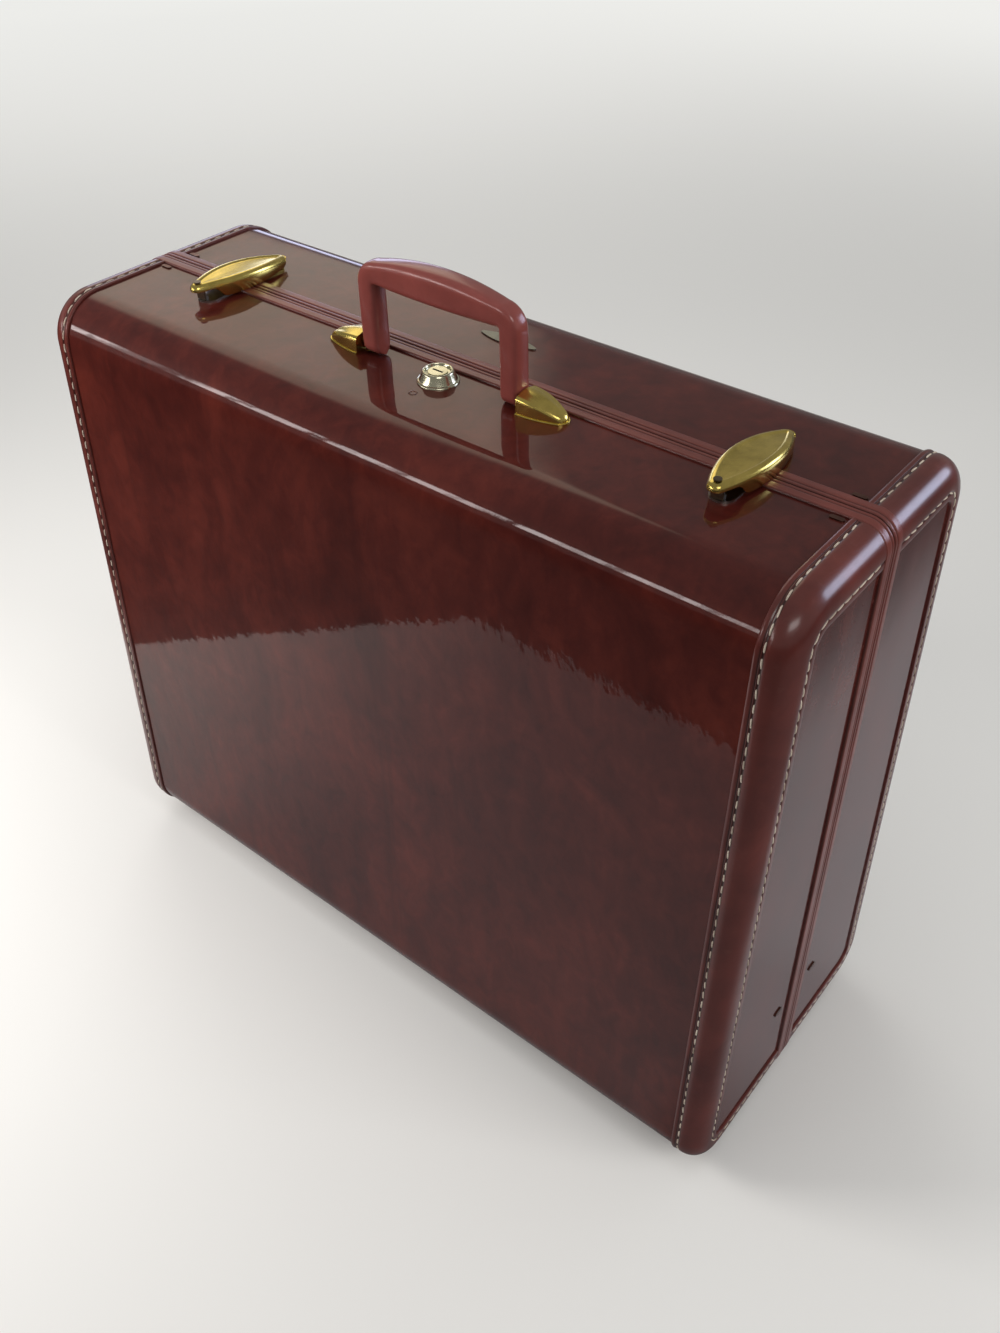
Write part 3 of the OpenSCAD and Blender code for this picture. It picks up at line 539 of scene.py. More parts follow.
def row_points(out, along, pitch):
    """Places, directions and ways up of the stitches of one row at the right end."""
    middles, outs = stops(WELT_EDGE)
    line = middles + (EDGE_R + out) * outs
    lengths = np.concatenate([[0], np.cumsum(np.linalg.norm(np.diff(line, axis=0), axis=1))])
    on_face = along < ROLL_R - BINDING_T
    count = int((lengths[-1] - pitch) / pitch)
    spare = lengths[-1] - count * pitch
    found = []
    for i in range(count + 1):
        s = spare / 2 + i * pitch
        y, z = (np.interp(s, lengths, line[:, k]) for k in (0, 1))
        ahead = np.array([np.interp(s + 0.001, lengths, line[:, k]) for k in (0, 1)])
        before = np.array([np.interp(s - 0.001, lengths, line[:, k]) for k in (0, 1)])
        forward = np.array([0, *(ahead - before)])
        way_out = np.array([np.interp(s, lengths, outs[:, k]) for k in (0, 1)])
        up = np.array([0, *way_out]) if on_face else np.array([1.0, 0, 0])
        place = np.array([ROLL_START + along, y, z])
        found.append((place, forward / np.linalg.norm(forward), up / np.linalg.norm(up)))
    return found


def stitch(place, forward, up, length, slant, lift):
    """One stitch: a thread that dives into the leather at both ends."""
    side = np.cross(up, forward)
    forward = forward * math.cos(slant) + side * math.sin(slant)
    side = np.cross(up, forward)
    rings = []
    for t in np.linspace(-1, 1, 9):
        bow = 1 - t ** 4
        centre = place + forward * (t * length / 2) + up * (lift * bow - THREAD_R * 0.9 * (1 - bow))
        swell = THREAD_R * (0.62 + 0.38 * bow)
        ring = []
        for k in range(7):
            a = 2 * math.pi * k / 7
            ring.append(centre + side * (1.15 * swell * math.cos(a)) + up * (swell * math.sin(a)))
        rings.append(ring)
    return tube(rings)


def make_stitches():
    """Two rows of stitches on each binding."""
    rows = (
        (-GROOVE_DEPTH, ROW_ON_FACE, FACE_PITCH, FACE_STITCH, 0.05),
        (ROW_ON_END, ROLL_R - GROOVE_DEPTH, END_PITCH, END_STITCH, 0.14),
    )
    for half in ("base", "lid"):
        for side in ("left", "right"):
            dice = random.Random(f"{half} {side}")
            verts, faces = [], []
            for out, along, pitch, length, lean in rows:
                for place, forward, up in row_points(out, along, pitch):
                    slant = lean + dice.uniform(-0.06, 0.06)
                    long = length * dice.uniform(0.9, 1.06)
                    lift = THREAD_R * dice.uniform(0.35, 0.75)
                    points, made = stitch(place, forward, up, long, slant, lift)
                    base = len(verts)
                    verts.extend(points)
                    faces.extend(tuple(base + i for i in face) for face in made)
            add_piece(
                f"{half}_stitches_{side}", mirrored(verts, side == "left", half == "lid"), faces,
                THREAD, half,
            )


def outline_points(first, last):
    """Points and ways out round the seam's outline, from a place on the bottom the long way to another."""
    low, high = Z_BOTTOM + ROLL_R, Z_TOP - ROLL_R
    points, outs = [], []

    def straight(a, b, out):
        count = max(1, round(np.linalg.norm(np.subtract(b, a)) / STEP))
        for i in range(count):
            points.append(np.add(a, np.subtract(b, a) * i / count))
            outs.append(out)

    def turn(middle, start):
        for i in range(ARC_STEPS):
            a = start + 0.5 * math.pi * i / ARC_STEPS
            points.append(np.array(middle))
            outs.append((math.cos(a), math.sin(a)))

    straight((first, low), (ROLL_START, low), (0, -1))
    turn((ROLL_START, low), -0.5 * math.pi)
    straight((ROLL_START, low), (ROLL_START, high), (1, 0))
    turn((ROLL_START, high), 0)
    straight((ROLL_START, high), (-ROLL_START, high), (0, 1))
    turn((-ROLL_START, high), 0.5 * math.pi)
    straight((-ROLL_START, high), (-ROLL_START, low), (-1, 0))
    turn((-ROLL_START, low), math.pi)
    straight((-ROLL_START, low), (last, low), (0, -1))
    points.append(np.array((last, low)))
    outs.append((0, -1))
    return np.array(points), np.array(outs)


def welt_section():
    """Section of a welt as (outward, backward) points, with rounded edges and a pressed line, and the painted
    shade of each point: in the pressed line and down both edges, most on the seam side.
    """
    width = WELT_EDGE - SEAM
    bottom = -BINDING_T
    edge, step = 0.0011, 0.0004
    press_at, press_w, press_depth = width - 0.0026, 0.0005, 0.0005
    crown_h, sunk = 0.0003, 0.0002
    # Second list: painted shade, darkest at the bottom edges, by the seam and in the pressed line
    points, painted_shade = [(bottom, -WELT_EDGE)], [0.6]
    for i in range(6):
        a = math.radians(90 * i / 5)
        points.append((WELT_RISE - edge + edge * math.sin(a), -WELT_EDGE + edge - edge * math.cos(a)))
        painted_shade.append(0.5 * (1 - i / 5))
    for t in np.arange(edge + step, width - edge, step):
        press = math.exp(-((t - press_at) / press_w) ** 2)
        crown = crown_h * math.sin(math.pi * t / width)
        points.append((WELT_RISE - sunk + crown - press_depth * press, -WELT_EDGE + t))
        painted_shade.append(0.55 * press)
    for i in range(6):
        a = math.radians(90 - 90 * i / 5)
        points.append((WELT_RISE - edge + edge * math.sin(a), -SEAM - edge + edge * math.cos(a)))
        painted_shade.append(0.7 * i / 5)
    points.append((bottom, -SEAM))
    painted_shade.append(0.8)
    return np.array(points), np.array(painted_shade)


def make_welts():
    """Leather strip along each side of the seam, broken at the hinges."""
    section, painted_shade = welt_section()
    leaf_low, leaf_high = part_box("hinge_leaf_base_right")
    gap = 0.0006
    outside, inside = leaf_high.x + gap, leaf_low.x - gap
    long_way = outline_points(outside, -outside)
    middle_x = np.linspace(-inside, inside, 30)
    short_points = np.column_stack([middle_x, np.full(30, Z_BOTTOM + ROLL_R)])
    short_way = (short_points, np.tile((0.0, -1.0), (30, 1)))
    verts, faces, shade = [], [], []
    for points, outs in (long_way, short_way):
        rings = []
        for point, out in zip(points, outs):
            flat = point + (ROLL_R + section[:, :1]) * out
            rings.append(np.column_stack([flat[:, 0], section[:, 1], flat[:, 1]]))
        made, joined = tube(rings)
        base = len(verts)
        verts.extend(made)
        faces.extend(tuple(base + i for i in face) for face in joined)
        # Painted shade of the welt's section, carried to the leather's colour as the shade attribute
        shade.extend(np.tile(painted_shade, len(rings)))
    for half in ("base", "lid"):
        add_piece(
            f"{half}_welt_strip", mirrored(verts, lid=half == "lid"), faces, WELT, half,
            [f"{half}_welt"], shade,
        )


def make_linings():
    """Cloth lining of each half, with soft corners where its sides meet the ends."""
    fillet = 0.009
    inset = WALL_T
    end = CASE_END - WALL_T
    turns = np.linspace(0, 0.5 * math.pi, 9)
    columns = [(-end + fillet - fillet * math.sin(a), fillet * (1 - math.cos(a))) for a in turns[::-1]]
    columns += [(x, 0.0) for x in np.linspace(-end + fillet, end - fillet, 30)[1:-1]]
    columns += [(end - fillet + fillet * math.sin(a), fillet * (1 - math.cos(a))) for a in turns]
    for half in ("base", "lid"):
        low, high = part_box(f"{half}_lining")
        start = -high.y if half == "base" else low.y
        outer, inner = [], []
        for place, extra in columns:
            outer.append(bent_grid(inset + extra, start, [place])[:, 0])
            nearer = np.clip(place, -end + LINING_T, end - LINING_T)
            inner.append(bent_grid(inset + extra + LINING_T, start, [nearer])[:, 0])
        verts, faces = slab(np.array(outer), np.array(inner))
        rows = len(outer[0])
        first = [i for i in range(rows)]
        last = [(len(columns) - 1) * rows + i for i in range(rows)]
        inside = len(columns) * rows
        for ring in (first, last, [inside + i for i in first], [inside + i for i in last]):
            faces.append(tuple(ring))
        add_piece(
            f"{half}_lining_cloth", mirrored(verts, lid=half == "lid"), faces, LINING, half,
            [f"{half}_lining"],
        )


# Handle


def handle_stops(leg_x, top, foot):
    """Half of the handle's line, from the middle of the grip down: places, angles, foot size and swell."""
    arch_r = (leg_x - HANDLE_BEND_R) / math.sin(GRIP_SLOPE) + HANDLE_BEND_R
    arch_z = top - GRIP_W / 2 - arch_r
    bend = np.array([leg_x - HANDLE_BEND_R, arch_z + (arch_r - HANDLE_BEND_R) * math.cos(GRIP_SLOPE)])
    found = []
    for t in np.linspace(0, 1, 25):
        a = 0.5 * math.pi - GRIP_SLOPE * t
        found.append((arch_r * np.array([math.cos(a), math.sin(a)]) + (0, arch_z), a, 1.0, 1 - t * t))
    for t in np.linspace(0, 1, 19)[1:]:
        a = (0.5 * math.pi - GRIP_SLOPE) * (1 - t)
        found.append((bend + HANDLE_BEND_R * np.array([math.cos(a), math.sin(a)]), a, 1.0, 0.0))
    for z in np.linspace(bend[1], foot, 14)[1:]:
        found.append((np.array([leg_x, z]), 0.0, 1.0, 0.0))
    for a in np.radians(np.linspace(0, 85, 10))[1:]:
        found.append((np.array([leg_x, foot - LEG_T / 2 * math.sin(a)]), 0.0, math.cos(a), 0.0))
    return found


def make_handle():
    """Padded leather handle: two legs, two tight bends and an arched grip that swells in the middle."""
    low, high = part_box("handle_grip")
    middle_x, middle_y = (low.x + high.x) / 2, (low.y + high.y) / 2
    half = handle_stops((high.x - low.x - LEG_W) / 2, high.z, low.z + LEG_T / 2)
    turns = np.linspace(0, 2 * math.pi, 45)[:-1]
    power = 2 / 3.4
    shape = np.column_stack([
        np.sign(np.cos(turns)) * np.abs(np.cos(turns)) ** power,
        np.sign(np.sin(turns)) * np.abs(np.sin(turns)) ** power,
    ])
    rings = []
    for side, stops_there in ((-1, half[:0:-1]), (1, half)):
        for place, angle, size, swell in stops_there:
            half_w = (LEG_W + (GRIP_W - LEG_W) * swell) / 2
            half_t = (LEG_T + (GRIP_T - LEG_T) * swell) / 2 * size
            flat = place + half_w * shape[:, :1] * np.array([math.cos(angle), math.sin(angle)])
            rings.append(np.column_stack([
                middle_x + side * flat[:, 0], middle_y + half_t * shape[:, 1], flat[:, 1],
            ]))
    verts, faces = tube(rings)
    add_piece("handle_leather_grip", verts, faces, HANDLE, "handle", ["handle_grip"])


# Metal fittings


def leaf_outline(length, width, tip_r):
    """Points and ways out round a leaf with round tips that lies along the first axis."""
    side_r = (length ** 2 / 4 + width ** 2 / 4 - length * tip_r) / (width - 2 * tip_r)
    tip_x = length / 2 - tip_r
    meet = math.atan2(side_r - width / 2, tip_x)
    angles = list(np.linspace(-meet, meet, 19)[:-1])
    angles += list(np.linspace(meet, math.pi - meet, 31)[:-1])
    angles += list(np.linspace(math.pi - meet, math.pi + meet, 19)[:-1])
    angles += list(np.linspace(math.pi + meet, 2 * math.pi - meet, 31)[:-1])
    points, outs = [], []
    for a in angles:
        out = np.array([math.cos(a), math.sin(a)])
        if abs(out[1]) < math.sin(meet) - 1e-9:
            centre, r = np.array([math.copysign(tip_x, out[0]), 0.0]), tip_r
        else:
            centre, r = np.array([0.0, -math.copysign(side_r - width / 2, out[1])]), side_r
        points.append(centre + r * out)
        outs.append(out)
    return np.array(points), np.array(outs)


def arc_height(p, q, r):
    """Height of an arc of a radius that rises through two points, as a function of the place."""
    p, q = np.array(p), np.array(q)
    d = q - p
    half = np.linalg.norm(d) / 2
    centre = (p + q) / 2 + np.array([d[1], -d[0]]) / (2 * half) * math.sqrt(r * r - half * half)
    return lambda s: centre[1] + np.sqrt(np.maximum(r * r - (s - centre[0]) ** 2, 0))


def leaf_rings(points, outs, inset, lengthwise):
    """A ring set in from a leaf's outline, pulled to its middle line as lengthwise goes to one."""
    ring = points - inset * outs
    return np.column_stack([ring[:, 0] * (1 - 0.25 * lengthwise), ring[:, 1] * (1 - lengthwise)])


def make_levers():
    """Brass lever of each latch: a leaf with a turned-down wall, a round shoulder, a rim and a dished top."""
    metal, rim = 0.0012, 0.0036
    front_top, back_top = SKIN_TOP + 0.012, SKIN_TOP + 0.0074
    crown_r, tip_r = 0.300, 0.005
    shoulder_w, shoulder_h = 0.0029, 0.0037
    finger_l, finger_edge = 0.016, 0.0043
    back_l, back_rise = 0.0031, 0.0008
    lip = 0.0003
    dishing = ((0.05, 0.00094), (0.3, 0.00100), (0.55, 0.00104), (0.8, 0.00108), (1.0, 0.00110))
    for side in ("left", "right"):
        low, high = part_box(f"latch_lever_{side}")
        middle_x, middle_y = (low.x + high.x) / 2, (low.y + high.y) / 2
        length, width = high.y - low.y, high.x - low.x
        crown = arc_height((low.y, front_top), (high.y, back_top), crown_r)
        points, outs = leaf_outline(length, width, tip_r)
        rings = []

        def wall_foot(y):
            past_finger = np.clip((y - low.y - finger_l * 0.75) / (finger_l * 0.4), 0, 1)
            over_finger = 1 - past_finger ** 2 * (3 - 2 * past_finger)
            foot = low.z + (crown(y) - finger_edge - low.z) * over_finger
            behind_pivot = np.clip((y - high.y + back_l) / back_rise, 0, 1)
            return foot + (back_top - metal - foot) * behind_pivot

        def ring(inset, lengthwise, drop, floor=False, raised=0.0):
            flat = leaf_rings(points, outs, inset, lengthwise)
            y = middle_y + flat[:, 0]
            z = wall_foot(y) + raised if floor else np.maximum(crown(y) - drop, wall_foot(y) + lip)
            rings.append(np.column_stack([middle_x + flat[:, 1], y, z]))

        for lengthwise in (1.0, 0.6, 0.25, 0.0):
            ring(metal + rim, lengthwise, metal + 0.0004)
        ring(metal + 0.0004, 0.0, metal + 0.0016)
        ring(metal, 0.0, 0.0, True, lip)
        ring(metal * 0.6, 0.0, 0.0, True)
        ring(0.0002, 0.0, 0.0, True)
        ring(0.0, 0.0, 0.0, True, lip)
        for i in range(10):
            a = math.radians(78 * i / 9)
            ring(shoulder_w * (1 - math.cos(a)), 0.0, 0.0002 + shoulder_h * (1 - math.sin(a)))
        ring(rim * 0.92, 0.0, 0.00016)
        ring(rim, 0.0, 0.00012)
        ring(rim * 1.06, 0.0, 0.00020)
        ring(rim * 1.25, 0.0, 0.00085)
        for lengthwise, dish in dishing:
            ring(rim * 1.3, lengthwise, dish)
        verts, faces = tube(rings, capped=False)
        add_piece(
            f"latch_lever_brass_{side}", verts, faces, BRASS, f"latch_{side}",
            [f"latch_lever_{side}"],
        )


def make_mounts():
    """Brass mount beside each leg of the handle: half a leaf that falls away to its tip."""
    root_top, tip_top = SKIN_TOP + 0.0120, SKIN_TOP + 0.0045
    crown_r, tip_r = 0.060, 0.006
    shoulder_r, shoulder_drop = 0.0028, 0.0040
    crowning = ((0.1, 0.0010), (0.3, 0.0006), (0.55, 0.0003), (0.8, 0.0001), (1.0, 0.0))
    for side in ("left", "right"):
        low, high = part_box(f"handle_mount_{side}")
        middle_y = (low.y + high.y) / 2
        length, width = high.x - low.x, high.y - low.y
        flip = -1 if side == "left" else 1
        crown = arc_height((0.0, root_top), (length, tip_top), crown_r)
        points, outs = leaf_outline(2 * length, width, tip_r)
        rings = []

        def ring(inset, lengthwise, drop, base=False, raised=0.0):
            flat = leaf_rings(points, outs, inset, lengthwise)
            z = np.full(len(flat), low.z + raised) if base else crown(np.clip(flat[:, 0], 0, length)) - drop
            rings.append(np.column_stack([flat[:, 0], middle_y + flat[:, 1], z]))

        for lengthwise in (1.0, 0.5, 0.0):
            ring(0.0, lengthwise, 0.0, True)
        ring(0.0, 0.0, 0.0, True, 0.0010)
        ring(0.0003, 0.0, 0.0, True, 0.0013)
        ring(0.0008, 0.0, 0.0, True, 0.0013)
        for i in range(8):
            a = math.radians(84 * i / 7)
            inset = 0.0009 + shoulder_r - shoulder_r * math.cos(a)
            ring(inset, 0.0, shoulder_drop - shoulder_r * math.sin(a))
        for lengthwise, drop in crowning:
            ring(0.0044, lengthwise, drop)
        verts, faces = tube(rings, capped=False)
        work = bmesh.new()
        made = [work.verts.new(v) for v in verts]
        for face in faces:
            work.faces.new([made[i] for i in face])
        bmesh.ops.remove_doubles(work, verts=work.verts, dist=1e-6)
        parts = work.verts[:] + work.edges[:] + work.faces[:]
        bmesh.ops.bisect_plane(
            work, geom=parts, plane_co=(0, 0, 0), plane_no=(1, 0, 0), clear_inner=True,
        )
        bmesh.ops.holes_fill(work, edges=[e for e in work.edges if e.is_boundary])
        work.verts.index_update()
        start = low.x if side == "right" else high.x
        placed = [(start + flip * v.co.x, v.co.y, v.co.z) for v in work.verts]
        joined = [tuple(v.index for v in face.verts) for face in work.faces]
        work.free()
        add_piece(
            f"handle_mount_brass_{side}", placed, joined, BRASS, "base", [f"handle_mount_{side}"],
        )


def make_lock():
    """Turned lock face with a flange, a sloping side and a rim round the sunk key plug."""
    low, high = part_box("lock_case")
    centre_x, centre_y = (low.x + high.x) / 2, (low.y + high.y) / 2
    top = high.z - SKIN_TOP
    flange_r = (high.x - low.x) / 2
    bore = 0.00555
    sunk = 0.0020
    flange = [(0.66, 0.0), (1.0, 0.0), (1.0, 0.10), (0.98, 0.15), (0.94, 0.18), (0.90, 0.20)]
    slope = [(0.82, 0.50), (0.75, 0.84), (0.73, 0.93), (0.70, 0.98), (0.66, 1.0)]
    rim = [(0.63, 0.98), (0.61, 0.92), (0.60, 0.80), (0.58, 0.76), (0.50, 0.75)]
    profile = [(bore, -sunk), (flange_r * 0.6, -sunk)]
    profile += [(flange_r * across, top * up) for across, up in flange + slope + rim]
    profile.append((bore, top * 0.74))
    turns = np.linspace(0, 2 * math.pi, 65)[:-1]
    rings = []
    for r, z in profile + profile[:1]:
        rings.append(np.column_stack([
            centre_x + r * np.cos(turns), centre_y + r * np.sin(turns), np.full(64, SKIN_TOP + z),
        ]))
    verts, faces = tube(rings, capped=False)
    add_piece("lock_face", verts, faces, NICKEL, "base", ["lock_case"])


def make_eyelet():
    """Small fixing eyelet in the cover, between the lock and the front edge."""
    place, ring_r, bead_r = (0.0025, -0.0412), 0.0021, 0.0005
    rings = []
    for turn in np.linspace(0, 2 * math.pi, 33):
        ring = []
        for a in np.linspace(0, 2 * math.pi, 11)[:-1]:
            r = ring_r + bead_r * math.cos(a)
            z = SKIN_TOP + 0.6 * bead_r * math.sin(a)
            ring.append((place[0] + r * math.cos(turn), place[1] + r * math.sin(turn), z))
        rings.append(ring)
    verts, faces = tube(rings, capped=False)
    add_piece("lock_eyelet", verts, faces, BRONZE, "base")


# CAD nodes that keep their shape and get a finish


def finish_nodes():
    """Finishes of the nodes that are shown as they are."""
    halves, sides = ("base", "lid"), ("left", "right")
    finishes = [
        (BOARD, [f"{h}_carcass" for h in halves] + [f"{h}_corner_{s}" for h in halves for s in sides]),
        (LACQUER, [f"{h}_end_{s}" for h in halves for s in sides]),
        (STEEL, ["base_tongue", "base_feet", "lid_feet", "lock_box", "lock_cam", "lock_keeper"]),
        (STEEL, [f"{n}_{s}" for n in ("handle_pin", "hinge_pin", "latch_pin") for s in sides]),
        (STEEL, [f"{n}_{s}" for n in ("latch_catch", "base_stay", "lid_stay") for s in sides]),
        (BRONZE, ["base_staples", "lid_staples", "base_stay_studs", "lid_stay_studs"]),
        (DARK_STEEL, [f"latch_hook_{s}" for s in sides]),
        (BRASS, [f"{n}_{s}" for n in ("hinge_leaf_base", "hinge_leaf_lid", "latch_bracket") for s in sides]),
        (NICKEL, ["lock_plug"]),
        (DULL_PLATE_PAINTED_DARK, ["name_plate"]),
    ]
    bevelled = (STEEL, DARK_STEEL, BRONZE, BRASS, NICKEL, DULL_PLATE_PAINTED_DARK)
    bevel_w, bevel_angle = 0.00018, math.radians(50)
    for material, names in finishes:
        for name in names:
            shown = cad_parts[name]
            shown.data.materials.clear()
            shown.data.materials.append(material)
            if material in bevelled:
                soften = shown.modifiers.new("soft_edges", "BEVEL")
                soften.width = bevel_w
                soften.segments = 2
                soften.limit_method = "ANGLE"
                soften.angle_limit = bevel_angle


# Stage, light and camera

# Floor in reflections: pale up to a line in front of the case and one across its left corner
PALE_FRONT = 0.505
PALE_CORNER, PALE_CORNER_WAY = 0.515, (0.768, 0.640, 0)
PALE_EDGE = 0.003
PALE_COLOURS = (0.34, 0.33, 0.34, 1), (0.60, 0.57, 0.55, 1)
DIM_COLOUR = (0.04, 0.034, 0.034, 1)
END_COLOUR = (0.52, 0.51, 0.53, 1)

# Floor and surroundings as the camera sees them
FLOOR_COLOUR = (0.80, 0.80, 0.78, 1)
GLOW_NEAR, GLOW_FAR = (0.02, 0.02, 0.02, 1), (0.60, 0.60, 0.58, 1)
GLOW_START, GLOW_FULL = 1.0, 3.2
FLOOR_HALF = 20.0
FLAP_HALF, FLAP_END = 0.9, 1.6

# Studio in reflections: degrees round and up at which each patch starts, is full, ends and is gone
STUDIO_COLOUR = (0.23, 0.215, 0.21, 1)
STUDIO_PATCHES = (
    ((126, 131, 160, 172), (17, 22, 45, 52), (1.20, 1.04, 0.84, 1)),
    ((42, 48, 63, 69), (2, 6, 21, 27), (4.0, 4.4, 5.8, 1)),
    ((127, 131, 149, 154), (0, 3, 9, 13), (2.1, 2.2, 3.0, 1)),
    ((-62, -52, -30, -18), (26, 31, 40, 46), (4.4, 4.1, 4.0, 1)),
)
STRIP_ROUND, STRIP_UP = (-150, -146, -114, -104), (6.5, 8.5, 12.5, 15.0)
STRIP_COLOUR = (9.0, 8.2, 8.0, 1)
STRIP_DIP = (-142.5, -141.5, -139, -137)


def mirrored_floor_colour(tree, place):
    """Colour of the floor in reflections: pale near the case and at its right end, and dim further off."""
    apart = node(tree, "ShaderNodeSeparateXYZ", Vector=place)
    x, y = apart.outputs["X"], apart.outputs["Y"]
    past_front = maths(tree, "ADD", y, PALE_FRONT)
    along = node(tree, "ShaderNodeVectorMath", operation="DOT_PRODUCT", i0=place, i1=PALE_CORNER_WAY)
    past_corner = maths(tree, "ADD", along.outputs["Value"], PALE_CORNER)
    near = soft_step(tree, maths(tree, "MINIMUM", past_front, past_corner), -PALE_EDGE, PALE_EDGE)
    leftward = soft_step(tree, x, -0.10, -0.50)
    rightward = soft_step(tree, x, 0.20, 0.26)
    kept = maths(tree, "SUBTRACT", 1.0, maths(tree, "MULTIPLY", rightward, 0.7))
    near = maths(tree, "MULTIPLY", near, kept)
    rightward = maths(tree, "MULTIPLY", rightward, soft_step(tree, x, 0.47, 0.39))
    rightward = maths(tree, "MULTIPLY", rightward, soft_step(tree, y, -0.12, 0.02))
    pale = mix(tree, leftward, *PALE_COLOURS)
    return mix(tree, rightward, mix(tree, near, DIM_COLOUR, pale), END_COLOUR)


def make_floor():
    """Plain pale floor, with a flap behind the hinges.

    The case stands on its hinge side, so the lid opens downward, and the flap turns away with it.
    """
    material, tree, shader = new_material(
        "floor", Roughness=0.9, Specular_IOR_Level=0.0, Emission_Strength=1.0,
    )
    place = node(tree, "ShaderNodeTexCoord").outputs["Object"]
    path = node(tree, "ShaderNodeLightPath")
    colour = mix(tree, path.outputs["Is Glossy Ray"], FLOOR_COLOUR, mirrored_floor_colour(tree, place))
    tree.links.new(colour, shader.inputs["Base Color"])
    away = node(tree, "ShaderNodeVectorMath", operation="LENGTH", i0=place).outputs["Value"]
    backdrop = mix(tree, soft_step(tree, away, GLOW_START, GLOW_FULL), GLOW_NEAR, GLOW_FAR)
    seen = mix(tree, path.outputs["Is Camera Ray"], (0, 0, 0, 1), backdrop)
    tree.links.new(seen, shader.inputs["Emission Color"])
    outside = [(FLOOR_HALF * x, FLOOR_HALF * y, 0) for x, y in ((-1, -1), (1, -1), (1, 1), (-1, 1))]
    inside = [(-FLAP_HALF, 0, 0), (FLAP_HALF, 0, 0), (FLAP_HALF, FLAP_END, 0), (-FLAP_HALF, FLAP_END, 0)]
    around = [(i, (i + 1) % 4, 4 + (i + 1) % 4, 4 + i) for i in range(4)]
    for name, verts, faces in (("floor", outside + inside, around), ("floor_flap", inside, [(0, 1, 2, 3)])):
        mesh = bpy.data.meshes.new(name)
        mesh.from_pydata(verts, [], faces)
        mesh.materials.append(material)
        piece = bpy.data.objects.new(name, mesh)
        scene.collection.objects.link(piece)
        if name == "floor_flap":
            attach(piece, "lid")


def soft_band(tree, value, start, full, ending, gone):
    """One between two places, and soft at both ends."""
    return maths(tree, "MULTIPLY", soft_step(tree, value, start, full), soft_step(tree, value, gone, ending))


def make_world():
    """Pale surroundings for the camera, even light for the surfaces, and a dim studio in the gloss."""
    world = bpy.data.worlds.new("studio")
    scene.world = world
    world.use_nodes = True
    tree = world.node_tree
    tree.nodes.clear()
    way = node(tree, "ShaderNodeSeparateXYZ", Vector=node(tree, "ShaderNodeTexCoord").outputs["Generated"])
    turn = maths(tree, "ARCTAN2", way.outputs["Y"], way.outputs["X"])
    azimuth = maths(tree, "MULTIPLY", turn, math.degrees(1))
    elevation = maths(tree, "MULTIPLY", maths(tree, "ARCSINE", way.outputs["Z"], 0.0), math.degrees(1))

    def patch(round_about, upward):
        sides = soft_band(tree, azimuth, *round_about), soft_band(tree, elevation, *upward)
        return maths(tree, "MULTIPLY", *sides)

    gloss = STUDIO_COLOUR
    for round_about, upward, colour in STUDIO_PATCHES:
        gloss = mix(tree, patch(round_about, upward), gloss, colour)
    broken = node(tree, "ShaderNodeTexNoise", noise_dimensions="1D", W=azimuth, Scale=0.55, Detail=3.0)
    uneven = soft_step(tree, broken.outputs["Fac"], 0.25, 0.60)
    strip = maths(tree, "MULTIPLY", patch(STRIP_ROUND, STRIP_UP), uneven)
    dip = maths(tree, "MULTIPLY", soft_band(tree, azimuth, *STRIP_DIP), 0.8)
    strip = maths(tree, "MULTIPLY", strip, maths(tree, "SUBTRACT", 1.0, dip))
    gloss = mix(tree, strip, gloss, STRIP_COLOUR)
    path = node(tree, "ShaderNodeLightPath")
    seen = mix(tree, path.outputs["Is Camera Ray"], (0.25, 0.25, 0.25, 1), FLOOR_COLOUR)
    seen = mix(tree, path.outputs["Is Glossy Ray"], seen, gloss)
    background = node(tree, "ShaderNodeBackground", Color=seen, Strength=1.0)
    node(tree, "ShaderNodeOutputWorld", Surface=background.outputs[0])


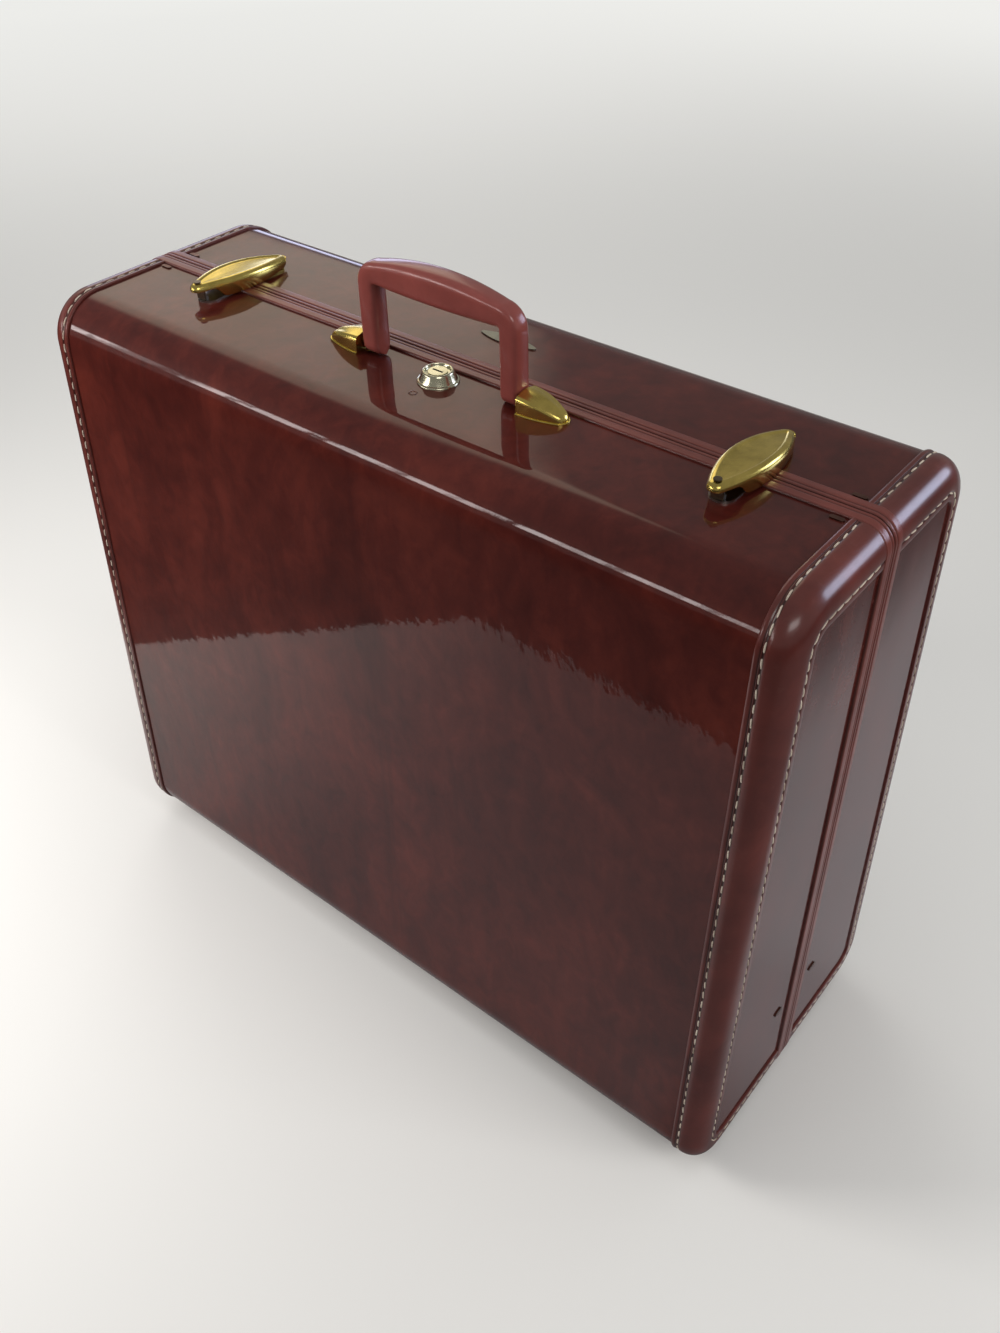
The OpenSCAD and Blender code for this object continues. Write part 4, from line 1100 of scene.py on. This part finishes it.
def add_lamp(name, place, aim, size, power, colour=(1, 1, 1)):
    """Soft rectangular lamp that lights surfaces; gloss shows the world's own patches instead."""
    data = bpy.data.lights.new(name, "AREA")
    data.shape = "RECTANGLE"
    data.size, data.size_y = size
    data.energy = power
    data.color = colour
    lamp = bpy.data.objects.new(name, data)
    scene.collection.objects.link(lamp)
    lamp.location = place
    lamp.rotation_mode = "QUATERNION"
    lamp.rotation_quaternion = (Vector(aim) - Vector(place)).to_track_quat("-Z", "Y")
    lamp.visible_camera = False
    lamp.visible_glossy = False


def make_lights():
    """A soft overhead lamp, a near one in front on the left, and weaker ones on the right and behind."""
    add_lamp("overhead", (0.1, -0.2, 2.6), (0, 0, 0.2), (2.4, 2.0), 17)
    add_lamp("front_left", (-0.66, -0.54, 0.62), (-0.14, -0.05, 0.28), (0.4, 0.4), 6.2, (1.0, 0.96, 0.93))
    add_lamp("right", (1.7, 0.20, 1.0), (0.2, 0, 0.25), (1.0, 1.0), 15, (1.0, 0.98, 0.96))
    add_lamp("back_left", (-1.6, 1.2, 1.5), (0, 0, 0.3), (1.2, 1.0), 9, (1.0, 0.97, 0.94))


def make_camera():
    """The photograph's view: found from the case's own edges in a 1000 by 1333 picture."""
    azimuth, elevation, roll = (math.radians(a) for a in (39.15, 39.46, -0.85))
    distance = 0.87664
    target = Vector((0, 0.04625, 0.2111))
    focal, middle = 1241.94, (514.77, 642.51)
    width, height, sensor = 1000, 1333, 36.0
    flat = math.cos(elevation)
    back = Vector((math.sin(azimuth) * flat, -math.cos(azimuth) * flat, math.sin(elevation)))
    level = Vector((math.cos(azimuth), math.sin(azimuth), 0))
    rise = back.cross(level)
    right = level * math.cos(roll) + rise * math.sin(roll)
    up = rise * math.cos(roll) - level * math.sin(roll)
    data = bpy.data.cameras.new("camera")
    data.sensor_width = sensor
    data.lens = focal * sensor / height
    data.shift_x = (width / 2 - middle[0]) / height
    data.shift_y = (middle[1] - height / 2) / height
    camera = bpy.data.objects.new("camera", data)
    scene.collection.objects.link(camera)
    turned = Matrix((right, up, back)).transposed().to_4x4()
    camera.matrix_world = Matrix.Translation(target + back * distance) @ turned
    scene.camera = camera


make_covers()
make_bindings()
make_stitches()
make_welts()
make_linings()
make_handle()
make_levers()
make_mounts()
make_lock()
make_eyelet()
finish_nodes()
make_floor()
make_world()
make_lights()
make_camera()
scene.view_settings.view_transform = "Standard"
